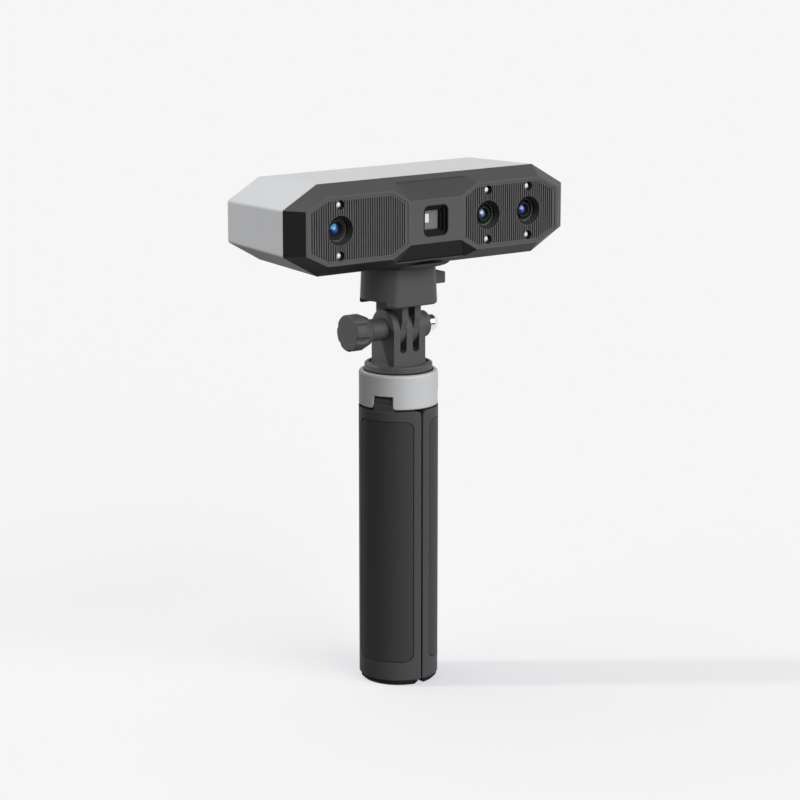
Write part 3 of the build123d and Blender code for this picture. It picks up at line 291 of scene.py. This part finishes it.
def make_facing_shade_group():
    """Masks for painted shade by the way a face looks: one on all faces that don't look straight out of the
    front, and one that grows as a face looks upwards."""
    group, given, out = new_group(
        "facing_shade", {"Limit": ("NodeSocketFloat", -0.985)},
        {"Slope": "NodeSocketFloat", "Upward": "NodeSocketFloat"},
    )
    place = add_node(group, "ShaderNodeTexCoord")
    axes = add_node(group, "ShaderNodeSeparateXYZ")
    slope_shade_mix = add_node(group, "ShaderNodeMath", operation="GREATER_THAN")
    upward = add_node(group, "ShaderNodeMapRange", {"From Min": -0.1, "From Max": 0.6})
    join(group, place.outputs["Normal"], axes.inputs["Vector"])
    join(group, axes.outputs["Y"], slope_shade_mix.inputs[0])
    join(group, given.outputs["Limit"], slope_shade_mix.inputs[1])
    join(group, axes.outputs["Z"], upward.inputs["Value"])
    join(group, slope_shade_mix.outputs["Value"], out.inputs["Slope"])
    join(group, upward.outputs["Result"], out.inputs["Upward"])
    return group


def make_spot_group():
    """A soft round spot, seen along y: one at its centre and nought at its radius."""
    group, given, out = new_group(
        "round_spot", {"Centre": ("NodeSocketVector", (0.0, 0.0, 0.0)), "Radius": ("NodeSocketFloat", 0.002)},
        {"Spot": "NodeSocketFloat"},
    )
    place = add_node(group, "ShaderNodeTexCoord")
    offset = add_node(group, "ShaderNodeVectorMath", operation="SUBTRACT")
    flat = add_node(group, "ShaderNodeVectorMath", {1: (1.0, 0.0, 1.0)}, operation="MULTIPLY")
    distance = add_node(group, "ShaderNodeVectorMath", operation="LENGTH")
    spot = add_node(group, "ShaderNodeMapRange", {"From Max": 0.0}, interpolation_type="SMOOTHSTEP")
    join(group, place.outputs["Object"], offset.inputs[0])
    join(group, given.outputs["Centre"], offset.inputs[1])
    join(group, offset.outputs["Vector"], flat.inputs[0])
    join(group, flat.outputs["Vector"], distance.inputs[0])
    join(group, distance.outputs["Value"], spot.inputs["Value"])
    join(group, given.outputs["Radius"], spot.inputs["From Min"])
    join(group, spot.outputs["Result"], out.inputs["Spot"])
    return group


soft_edges = make_soft_edge_group()
mould_grain = make_grain_group()
tool_marks = make_tool_mark_group()
board_tracks = make_board_group()
button_print = make_print_group()
facing_shade = make_facing_shade_group()
round_spot = make_spot_group()


def new_material(name):
    """An empty node material with its principled shader joined to the output."""
    material = bpy.data.materials.new(name)
    material.use_nodes = True
    tree = material.node_tree
    tree.nodes.clear()
    shader = add_node(tree, "ShaderNodeBsdfPrincipled")
    out = add_node(tree, "ShaderNodeOutputMaterial")
    join(tree, shader.outputs["BSDF"], out.inputs["Surface"])
    return material, tree, shader


def place_group(tree, group, inputs):
    """Places a shared node group in a material with that material's own values."""
    return add_node(tree, "ShaderNodeGroup", inputs, node_tree=group)


def shaded(colour, factor):
    """A colour made lighter or darker by a factor, with full opacity."""
    return tuple(min(1.0, c * factor) for c in colour) + (1.0,)


def overlay(tree, mask, below, colour):
    """Lays a plain colour over another colour output where a mask is one, and returns the result."""
    mixed = add_node(tree, "ShaderNodeMix", data_type="RGBA")
    mixed.inputs["B"].default_value = colour
    join(tree, mask, mixed.inputs["Factor"])
    join(tree, below, mixed.inputs["A"])
    return mixed.outputs["Result"]


def drifting(tree, texture, colour, tone):
    """A colour that drifts slowly darker and lighter with the cloud mask."""
    drift = add_node(tree, "ShaderNodeMix", data_type="RGBA")
    drift.inputs["A"].default_value = shaded(colour, 1.0 - tone)
    drift.inputs["B"].default_value = shaded(colour, 1.0 + tone)
    join(tree, texture.outputs["Cloud"], drift.inputs["Factor"])
    return drift.outputs["Result"]


def rough_by(tree, mask, shader, roughness, swing):
    """Lets the shader's roughness swing about its middle value with a mask."""
    gloss = add_node(tree, "ShaderNodeMapRange", {"To Min": roughness - swing, "To Max": roughness + swing})
    join(tree, mask, gloss.inputs["Value"])
    join(tree, gloss.outputs["Result"], shader.inputs["Roughness"])


def moulded(name, colour, roughness, specular=0.25, grain=0.0004, depth=0.00002, cloud=0.02,
            edge=0.0003, edge_gain=1.25, tone=0.06, rough_swing=0.08, metallic=0.0, marks=None,
            slope_shade=None):
    """Moulded or painted finish: colour drifts slowly, edges get a painted highlight and pebbles break up the
    gloss. Sloping faces can get painted shade: one colour where they look down or sideways, blending to
    another as they look upwards."""
    material, tree, shader = new_material(name)
    edges = place_group(tree, soft_edges, {"Radius": edge})
    texture = place_group(tree, mould_grain, {"Grain Size": grain, "Cloud Size": cloud})
    bump = add_node(tree, "ShaderNodeBump", {"Strength": 0.6, "Distance": depth})
    tinted = drifting(tree, texture, colour, tone)
    # Painted shade on sloping faces: darkest where they look down or sideways, lighter as they look upwards.
    if slope_shade:
        facing = place_group(tree, facing_shade, {})
        slope_shade_mix = add_node(tree, "ShaderNodeMix", data_type="RGBA")
        slope_shade_mix.inputs["A"].default_value = shaded(slope_shade[0], 1.0)
        slope_shade_mix.inputs["B"].default_value = shaded(slope_shade[1], 1.0)
        chosen = add_node(tree, "ShaderNodeMix", data_type="RGBA")
        join(tree, facing.outputs["Upward"], slope_shade_mix.inputs["Factor"])
        join(tree, facing.outputs["Slope"], chosen.inputs["Factor"])
        join(tree, tinted, chosen.inputs["A"])
        join(tree, slope_shade_mix.outputs["Result"], chosen.inputs["B"])
        tinted = chosen.outputs["Result"]
    # Painted edge highlight: the colour is made lighter on edges by the edge gain.
    tinted = overlay(tree, edges.outputs["Edge"], tinted, shaded(colour, edge_gain))
    if marks:
        printed = place_group(tree, button_print, marks["place"])
        for mark in marks["shown"]:
            tinted = overlay(tree, printed.outputs[mark], tinted, marks["colour"])
    join(tree, tinted, shader.inputs["Base Color"])
    rough_by(tree, texture.outputs["Cloud"], shader, roughness, rough_swing)
    join(tree, texture.outputs["Pebble"], bump.inputs["Height"])
    join(tree, edges.outputs["Normal"], bump.inputs["Normal"])
    join(tree, bump.outputs["Normal"], shader.inputs["Normal"])
    shader.inputs["Specular IOR Level"].default_value = specular
    shader.inputs["Metallic"].default_value = metallic
    return material


def machined(name, colour, roughness, stretch, depth=0.000006, edge=0.0002, edge_gain=1.15, rough_swing=0.1):
    """Bare metal: tool marks, finest along the largest stretch, slow tarnish and edges painted brighter."""
    material, tree, shader = new_material(name)
    edges = place_group(tree, soft_edges, {"Radius": edge})
    texture = place_group(tree, mould_grain, {"Cloud Size": 0.006})
    marks = place_group(tree, tool_marks, {"Stretch": stretch})
    bump = add_node(tree, "ShaderNodeBump", {"Strength": 0.5, "Distance": depth})
    tinted = drifting(tree, texture, colour, 0.08)
    tinted = overlay(tree, edges.outputs["Edge"], tinted, shaded(colour, edge_gain))
    join(tree, tinted, shader.inputs["Base Color"])
    rough_by(tree, marks.outputs["Streak"], shader, roughness, rough_swing)
    join(tree, marks.outputs["Streak"], bump.inputs["Height"])
    join(tree, edges.outputs["Normal"], bump.inputs["Normal"])
    join(tree, bump.outputs["Normal"], shader.inputs["Normal"])
    shader.inputs["Metallic"].default_value = 1.0
    return material


def circuit_board(name, colour, track_colour, pad_colour):
    """Solder mask over copper tracks, with bare tinned pads."""
    material, tree, shader = new_material(name)
    texture = place_group(tree, mould_grain, {"Cloud Size": 0.01})
    pattern = place_group(tree, board_tracks, {"Track Pitch": 0.002})
    bump = add_node(tree, "ShaderNodeBump", {"Strength": 0.5, "Distance": 0.00003})
    tinted = drifting(tree, texture, colour, 0.1)
    tinted = overlay(tree, pattern.outputs["Track"], tinted, track_colour)
    tinted = overlay(tree, pattern.outputs["Pad"], tinted, pad_colour)
    join(tree, tinted, shader.inputs["Base Color"])
    rough_by(tree, texture.outputs["Cloud"], shader, 0.35, 0.1)
    join(tree, pattern.outputs["Pad"], shader.inputs["Metallic"])
    join(tree, pattern.outputs["Track"], bump.inputs["Height"])
    join(tree, bump.outputs["Normal"], shader.inputs["Normal"])
    return material


def coated_glass(name, node, painted_reflection, painted_glint, tint):
    """Coated lens: a dark body, with a painted coloured reflection in a soft round spot, a painted glint up
    to the left and a tinted shine.
    """
    material, tree, shader = new_material(name)
    low, high = (np.array(corner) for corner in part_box(node))
    centre = (low + high) / 2
    radius = (high[2] - low[2]) / 2
    texture = place_group(tree, mould_grain, {"Cloud Size": 0.003})
    reflection_centre = centre + radius * reflection_shift
    glint_centre = centre + radius * glint_shift
    wide = place_group(tree, round_spot, {"Centre": tuple(reflection_centre), "Radius": radius * reflection_size})
    bright = place_group(tree, round_spot, {"Centre": tuple(glint_centre), "Radius": radius * glint_size})
    tinted = drifting(tree, texture, lens_body, 0.15)
    # Painted reflection and painted glint: a coloured round spot, then a lighter one up to the left, laid
    # into the glass's colour.
    tinted = overlay(tree, wide.outputs["Spot"], tinted, painted_reflection)
    tinted = overlay(tree, bright.outputs["Spot"], tinted, painted_glint)
    join(tree, tinted, shader.inputs["Base Color"])
    rough_by(tree, texture.outputs["Cloud"], shader, 0.07, 0.03)
    shader.inputs["Specular IOR Level"].default_value = 1.0
    shader.inputs["Specular Tint"].default_value = tint
    return material


def lamp_resin(name, colour, glow):
    """Milky resin of a small lamp or light pipe: light inside, a clear skin and a slow drift of tone."""
    material, tree, shader = new_material(name)
    texture = place_group(tree, mould_grain, {"Cloud Size": 0.002})
    edges = place_group(tree, soft_edges, {"Radius": 0.0002})
    join(tree, drifting(tree, texture, colour, 0.05), shader.inputs["Base Color"])
    rough_by(tree, texture.outputs["Cloud"], shader, 0.2, 0.06)
    join(tree, edges.outputs["Normal"], shader.inputs["Normal"])
    shader.inputs["Coat Weight"].default_value = 0.6
    shader.inputs["Emission Color"].default_value = shaded(colour, 1.0)
    shader.inputs["Emission Strength"].default_value = glow
    return material


def button_marks(node, reach, shown):
    """Where a back button's printed mark sits, and which lines it has."""
    low, high = (np.array(corner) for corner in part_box(node))
    return {"place": {"Centre": tuple((low + high) / 2), "Reach": reach}, "shown": shown,
            "colour": print_colour}


def button_satin(name, marks=None):
    """Dark satin finish of the back buttons, with or without a printed mark."""
    return moulded(name, (0.07, 0.07, 0.072), 0.45, edge=0.0004, edge_gain=1.4, marks=marks)


rings_about_z = (900.0, 900.0, 12000.0)
rings_about_x = (12000.0, 900.0, 900.0)
finishes = {
    "shell_silver": moulded("shell_silver_paint", (0.475, 0.48, 0.49), 0.62, specular=0.1, grain=0.00025,
                            depth=0.000012, edge=0.0006, edge_gain=1.1, tone=0.03),
    # The bezel's and ribs' slope colours are painted shade.
    "bezel_dark": moulded("bezel_satin", (0.095, 0.095, 0.097), 0.42, specular=0.12, edge=0.0003,
                          edge_gain=1.1, slope_shade=((0.009, 0.009, 0.0095), (0.055, 0.055, 0.056))),
    "rib_dark": moulded("rib_satin", (0.102, 0.102, 0.104), 0.5, specular=0.12, edge=0.00012, edge_gain=1.1,
                        slope_shade=((0.012, 0.012, 0.013), (0.02, 0.02, 0.021))),
    # Large edge gains below paint the edges of the lens and window surrounds light, a painted highlight.
    "lens_black": moulded("lens_anodised", (0.012, 0.012, 0.013), 0.42, specular=0.15, edge=0.0002,
                          edge_gain=2.5),
    "window_black": moulded("window_surround", (0.01, 0.01, 0.011), 0.45, specular=0.06, edge=0.0002,
                            edge_gain=5.0),
    "module_black": moulded("module_case", (0.03, 0.03, 0.031), 0.5),
    "button_dark": button_satin("button_satin"),
    "pad_dark": moulded("pad_rubber", (0.04, 0.04, 0.042), 0.75, specular=0.15, grain=0.0006, depth=0.00004),
    "adapter_dark": moulded("adapter_satin", (0.083, 0.083, 0.085), 0.5, specular=0.15, edge=0.0004,
                            edge_gain=1.35),
    "knob_black": moulded("knob_satin", (0.071, 0.071, 0.073), 0.5, specular=0.2, edge=0.0005, edge_gain=1.3),
    "collar_silver": moulded("collar_silver_paint", (0.54, 0.545, 0.555), 0.58, specular=0.1, grain=0.00025,
                             depth=0.000012, edge=0.0006, edge_gain=1.0, tone=0.03, metallic=0.15),
    "leg_black": moulded("leg_satin", (0.068, 0.068, 0.07), 0.5, specular=0.08, edge=0.0005, edge_gain=1.4),
    "grip_black": moulded("grip_soft_touch", (0.047, 0.047, 0.048), 0.55, specular=0.1, edge=0.0004,
                          edge_gain=1.3),
    "foot_rubber": moulded("foot_rubber", (0.012, 0.012, 0.012), 0.8, specular=0.1, grain=0.0006,
                           depth=0.00004),
    "board_green": circuit_board("board_mask", (0.012, 0.10, 0.04), (0.03, 0.2, 0.09, 1.0),
                                 (0.7, 0.68, 0.62, 1.0)),
    "frame_aluminium": machined("frame_milled", (0.62, 0.62, 0.63), 0.35, (900.0, 900.0, 4000.0)),
    "screw_steel": machined("screw_plated", (0.45, 0.45, 0.46), 0.3, rings_about_x),
    "socket_steel": machined("socket_plated", (0.6, 0.6, 0.61), 0.3, (900.0, 6000.0, 900.0)),
    "insert_brass": machined("insert_turned", (0.75, 0.58, 0.28), 0.3, rings_about_z),
    "nut_chrome": machined("nut_chrome", (0.86, 0.86, 0.87), 0.07, rings_about_x, depth=0.000001,
                           edge_gain=1.02, rough_swing=0.02),
    "tube_aluminium": machined("tube_anodised", (0.5, 0.5, 0.51), 0.35, rings_about_z),
    "led_white": lamp_resin("lamp_dome", (0.78, 0.78, 0.765), 0.05),
    # Lens colours: first a painted coloured reflection, then a painted glint.
    "lens_glass": coated_glass("left_coating", "left_lens_glass", (0.025, 0.085, 0.36, 1.0),
                               (0.12, 0.6, 0.85, 1.0), (0.22, 0.62, 1.0, 1.0)),
    "window_glass": moulded("window_pane", (0.187, 0.187, 0.192), 0.15, specular=0.5, depth=0.000001,
                            edge=0.0009, edge_gain=1.9, rough_swing=0.03),
    "light_clear": lamp_resin("light_pipe", (0.7, 0.75, 0.75), 0.0),
}
special_finishes = {
    # These lens colours are also a painted reflection, then a painted glint.
    "colour_lens_glass": coated_glass("colour_coating", "colour_lens_glass", (0.18, 0.24, 0.52, 1.0),
                                      (0.6, 0.9, 0.95, 1.0), (0.6, 0.8, 1.0, 1.0)),
    "right_lens_glass": coated_glass("right_coating", "right_lens_glass", (0.08, 0.11, 0.6, 1.0),
                                     (0.2, 0.55, 0.95, 1.0), (0.42, 0.55, 1.0, 1.0)),
    "plus_button": button_satin("plus_button_satin",
                                button_marks("plus_button", sign_reach, ("Level", "Upright"))),
    "minus_button": button_satin("minus_button_satin", button_marks("minus_button", sign_reach, ("Level",))),
    "capture_button": button_satin("capture_button_satin",
                                   button_marks("capture_button", ring_radius, ("Ring",))),
}


def dress_solids():
    """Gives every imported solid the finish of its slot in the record, or its own special finish."""
    for row in frame["record"]["subparts"]:
        solid = nodes[row["node"]]
        solid.data.materials.clear()
        solid.data.materials.append(special_finishes.get(row["node"], finishes[row["material_slot"]]))


def lofted(rings):
    """Closed skin over rings of points, each turning left about the direction in which the rings advance."""
    count, sides, _ = rings.shape
    row, column = np.meshgrid(np.arange(count - 1), np.arange(sides), indexing="ij")
    after = (column + 1) % sides
    here, above = row * sides, (row + 1) * sides
    corners = (here + column, here + after, above + after, above + column)
    quads = np.stack(corners, axis=-1).reshape(-1, 4).tolist()
    first = list(range(sides))[::-1]
    last = [(count - 1) * sides + i for i in range(sides)]
    return rings.reshape(-1, 3), quads + [first, last]


def merged(parts):
    """Several skins as one: points are stacked and each skin's faces are renumbered."""
    points, faces, start = [], [], 0
    for part_points, part_faces in parts:
        points.append(part_points)
        faces += [[start + corner for corner in face] for face in part_faces]
        start += len(part_points)
    return np.concatenate(points), faces


def new_piece(name, skin, slot, body, smooth=True):
    """A mesh object from a skin, with the finish of its slot, that rides on a body."""
    points, faces = skin
    mesh = bpy.data.meshes.new(name)
    mesh.from_pydata(points.tolist(), [], faces)
    mesh.polygons.foreach_set("use_smooth", np.full(len(faces), smooth))
    mesh.materials.append(finishes[slot])
    piece = bpy.data.objects.new(name, mesh)
    bpy.context.scene.collection.objects.link(piece)
    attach(piece, body)
    return piece


def coil_rings(low, high, wire, turns, steps, sides):
    """Helix along x inside a box: the wire's centre goes round at a fixed radius while x grows evenly, and
    the ends stay one wire radius inside the box."""
    share = np.linspace(0.0, 1.0, steps)
    angle = 2 * np.pi * turns * share
    middle = (low + high) / 2
    radius = (high[2] - low[2]) / 2 - wire
    outward = np.stack((np.zeros(steps), np.cos(angle), np.sin(angle)), axis=-1)
    centre = middle + radius * outward
    centre[:, 0] = low[0] + wire + (high[0] - low[0] - 2 * wire) * share
    along = np.gradient(centre, axis=0)
    along /= np.linalg.norm(along, axis=1, keepdims=True)
    sideways = np.cross(along, outward)
    sideways /= np.linalg.norm(sideways, axis=1, keepdims=True)
    turn = 2 * np.pi * np.arange(sides) / sides
    spread = np.cos(turn)[None, :, None] * outward[:, None] + np.sin(turn)[None, :, None] * sideways[:, None]
    return centre[:, None] + wire * spread


def block_rings(low, high, soften, power=8.0, sides=32):
    """Block with rounded corners along y: each ring is a superellipse, and the two ends are drawn in by the
    softening."""
    turn = 2 * np.pi * np.arange(sides) / sides
    round_x = np.sign(np.sin(turn)) * np.abs(np.sin(turn)) ** (2 / power)
    round_z = np.sign(np.cos(turn)) * np.abs(np.cos(turn)) ** (2 / power)
    middle = (low + high) / 2
    half = (high - low) / 2
    levels = np.array((low[1], low[1] + soften, high[1] - soften, high[1]))
    drawn_in = np.array((soften, 0.0, 0.0, soften))
    rings = np.empty((4, sides, 3))
    rings[:, :, 0] = middle[0] + (half[0] - drawn_in)[:, None] * round_x
    rings[:, :, 1] = levels[:, None]
    rings[:, :, 2] = middle[2] + (half[2] - drawn_in)[:, None] * round_z
    return rings


def make_spring():
    """The release spring as wound wire, in the place of its plain sleeve."""
    low, high = (np.array(corner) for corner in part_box("release_spring"))
    high[0] -= spring_end_gap
    rings = coil_rings(low, high, spring_wire, spring_turns, spring_steps, wire_sides)
    spring = new_piece("release_spring_coil", lofted(rings), "screw_steel", "head")
    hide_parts("release_spring")
    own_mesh(spring)


def make_socket_tongue():
    """The inlet's tongue, with six contacts on its upper and lower faces."""
    low, high = (np.array(corner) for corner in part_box("usb_socket"))
    middle = (low + high) / 2
    tongue_low = middle - tongue_half
    tongue_high = middle + tongue_half
    tongue_low[1] = high[1] - tongue_root
    tongue_high[1] = high[1] - tongue_tip
    tongue = lofted(block_rings(tongue_low, tongue_high, tongue_soften))
    new_piece("socket_tongue", tongue, "module_black", "head", smooth=False)
    contact_tip = tongue_high[1] - contact_setback
    contact_foot = tongue_low[2] - contact_rise
    contact_head = tongue_high[2] + contact_rise
    contacts = []
    for place in middle[0] + contact_places:
        contact_low = np.array((place - contact_half_width, tongue_low[1], contact_foot))
        contact_high = np.array((place + contact_half_width, contact_tip, contact_head))
        contacts.append(lofted(block_rings(contact_low, contact_high, contact_soften, sides=contact_sides)))
    new_piece("socket_contacts", merged(contacts), "insert_brass", "head", smooth=False)


def turned_rings(profile, sides):
    """Closed ring about z: each corner of a profile of radius and height is turned round the axis, and the
    rings follow the profile from its first corner back to it."""
    turn = 2 * np.pi * np.arange(sides) / sides
    radius, height = np.array(profile + profile[:1]).T
    rings = np.empty((len(radius), sides, 3))
    rings[:, :, 0] = radius[:, None] * np.cos(turn)
    rings[:, :, 1] = radius[:, None] * np.sin(turn)
    rings[:, :, 2] = height[:, None]
    return rings


def make_disc_shade_ring():
    """A painted shadow gap: a thin dark ring under the disc's edge, just above the collar's rim."""
    rim_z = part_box("collar")[1][2]
    inner, outer = disc_radius - shade_ring_bite, disc_radius + shade_ring_lip
    foot, shoulder, crest = rim_z + shade_ring_lift, rim_z + shade_ring_shoulder, rim_z + shade_ring_crest
    profile = [(inner, foot), (outer, foot), (outer, shoulder), (inner, crest)]
    points, faces = lofted(turned_rings(profile, shade_ring_sides))
    new_piece("disc_shade_ring", (points, faces[:-2]), "foot_rubber", "pole")


def make_pane_glint():
    """A painted glint: a small white block, glowing faintly, on the left of the projector's pane, standing in
    for a highlight.
    """
    low, high = (np.array(corner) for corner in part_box("projector_window"))
    middle = (low + high) / 2
    pane_glint_low = np.array((middle[0] + pane_glint_left, low[1] - pane_glint_proud, middle[2] + pane_glint_bottom))
    pane_glint_high = np.array((middle[0] + pane_glint_right, low[1] + pane_glint_depth, middle[2] + pane_glint_top))
    pane_glint_block = lofted(block_rings(pane_glint_low, pane_glint_high, pane_glint_soften))
    # The painted glint takes the lamp domes' faintly glowing white finish.
    new_piece("projector_pane_glint", pane_glint_block, "led_white", "head", smooth=False)


def seen_as_backdrop(tree, coordinate, fade_start, fade_end):
    """One for camera, glossy and transmission rays, nought for the rays that carry diffuse light. Glossy and
    transmission rays see it fade away towards the photograph's side, where the studio is dark."""
    path = add_node(tree, "ShaderNodeLightPath")
    mirror = add_node(tree, "ShaderNodeMath", operation="MAXIMUM")
    seen = add_node(tree, "ShaderNodeMath", operation="MAXIMUM")
    place = add_node(tree, "ShaderNodeTexCoord")
    towards = add_node(tree, "ShaderNodeVectorMath", {1: camera_back}, operation="DOT_PRODUCT")
    fade = add_node(tree, "ShaderNodeMapRange",
                    {"From Min": fade_start, "From Max": fade_end, "To Min": 1.0, "To Max": 0.0})
    mirrored = add_node(tree, "ShaderNodeMath", operation="MULTIPLY")
    join(tree, path.outputs["Is Glossy Ray"], mirror.inputs[0])
    join(tree, path.outputs["Is Transmission Ray"], mirror.inputs[1])
    join(tree, place.outputs[coordinate], towards.inputs[0])
    join(tree, towards.outputs["Value"], fade.inputs["Value"])
    join(tree, mirror.outputs["Value"], mirrored.inputs[0])
    join(tree, fade.outputs["Result"], mirrored.inputs[1])
    join(tree, path.outputs["Is Camera Ray"], seen.inputs[0])
    join(tree, mirrored.outputs["Value"], seen.inputs[1])
    return seen.outputs["Value"]


def make_room():
    """The world: pale where it is looked at, and dim for the light that it sheds."""
    world = bpy.data.worlds.new("studio_room")
    bpy.context.scene.world = world
    world.use_nodes = True
    tree = world.node_tree
    tree.nodes.clear()
    pale = add_node(tree, "ShaderNodeBackground", {"Color": backdrop_white})
    dim = add_node(tree, "ShaderNodeBackground", {"Color": (1.0, 1.0, 1.0, 1.0), "Strength": room_level})
    mix = add_node(tree, "ShaderNodeMixShader")
    out = add_node(tree, "ShaderNodeOutputWorld")
    join(tree, seen_as_backdrop(tree, "Generated", *room_fade), mix.inputs["Fac"])
    join(tree, dim.outputs["Background"], mix.inputs[1])
    join(tree, pale.outputs["Background"], mix.inputs[2])
    join(tree, mix.outputs["Shader"], out.inputs["Surface"])


def make_floor():
    """A wide flat floor. Looked at, it glows pale and keeps a faint shadow; diffuse light bounces off it."""
    reach = floor_reach
    mesh = bpy.data.meshes.new("studio_floor")
    mesh.from_pydata([(-reach, -reach, 0), (reach, -reach, 0), (reach, reach, 0), (-reach, reach, 0)], [],
                     [(0, 1, 2, 3)])
    floor = bpy.data.objects.new("studio_floor", mesh)
    bpy.context.scene.collection.objects.link(floor)
    material = bpy.data.materials.new("studio_floor")
    material.use_nodes = True
    tree = material.node_tree
    tree.nodes.clear()
    glow = add_node(tree, "ShaderNodeEmission", {"Color": floor_glow})
    shadow = add_node(tree, "ShaderNodeBsdfDiffuse", {"Color": floor_colour})
    bounce = add_node(tree, "ShaderNodeBsdfDiffuse", {"Color": bounce_colour})
    looked_at = add_node(tree, "ShaderNodeAddShader")
    mix = add_node(tree, "ShaderNodeMixShader")
    out = add_node(tree, "ShaderNodeOutputMaterial")
    join(tree, glow.outputs["Emission"], looked_at.inputs[0])
    join(tree, shadow.outputs["BSDF"], looked_at.inputs[1])
    join(tree, seen_as_backdrop(tree, "Object", *floor_fade), mix.inputs["Fac"])
    join(tree, bounce.outputs["BSDF"], mix.inputs[1])
    join(tree, looked_at.outputs["Shader"], mix.inputs[2])
    join(tree, mix.outputs["Shader"], out.inputs["Surface"])
    mesh.materials.append(material)


def flag_lamp(holder, bodies):
    """Keeps a lamp's light off some bodies of the object, as a flag on a stand does in a studio."""
    shaded_solids = bpy.data.collections.new(holder.name + "_flag")
    for body in bodies:
        for node in frame["record"]["behaviour"]["bodies"][body]:
            shaded_solids.objects.link(nodes[node])
    for entry in shaded_solids.collection_objects:
        entry.light_linking.link_state = "EXCLUDE"
    holder.light_linking.receiver_collection = shaded_solids


def make_lamps():
    """Far lamps; a level of one makes a face that looks at the lamp render as its own colour."""
    for name, lamp in lamps.items():
        light = bpy.data.lights.new(name, "SUN")
        light.angle = np.radians(lamp["spread"])
        light.energy = lamp["level"] * np.pi
        holder = bpy.data.objects.new(name, light)
        towards = Vector(lamp["towards"]).normalized()
        holder.rotation_euler = towards.to_track_quat("Z", "Y").to_euler()
        bpy.context.scene.collection.objects.link(holder)
        if "flagged" in lamp:
            flag_lamp(holder, lamp["flagged"])


def make_camera():
    """The photograph's viewpoint: a long lens from the front left, a little above the head."""
    lens = bpy.data.cameras.new("photo_view")
    lens.lens = camera_lens
    lens.sensor_width = camera_sensor
    lens.clip_start, lens.clip_end = camera_clip
    holder = bpy.data.objects.new("photo_view", lens)
    turn = Matrix((camera_right, camera_up, camera_back)).transposed().to_4x4()
    holder.matrix_world = Matrix.Translation(camera_place) @ turn
    bpy.context.scene.collection.objects.link(holder)
    bpy.context.scene.camera = holder


bpy.context.scene.view_settings.view_transform = "Standard"
dress_solids()
make_spring()
make_socket_tongue()
make_disc_shade_ring()
make_pane_glint()
make_room()
make_floor()
make_lamps()
make_camera()
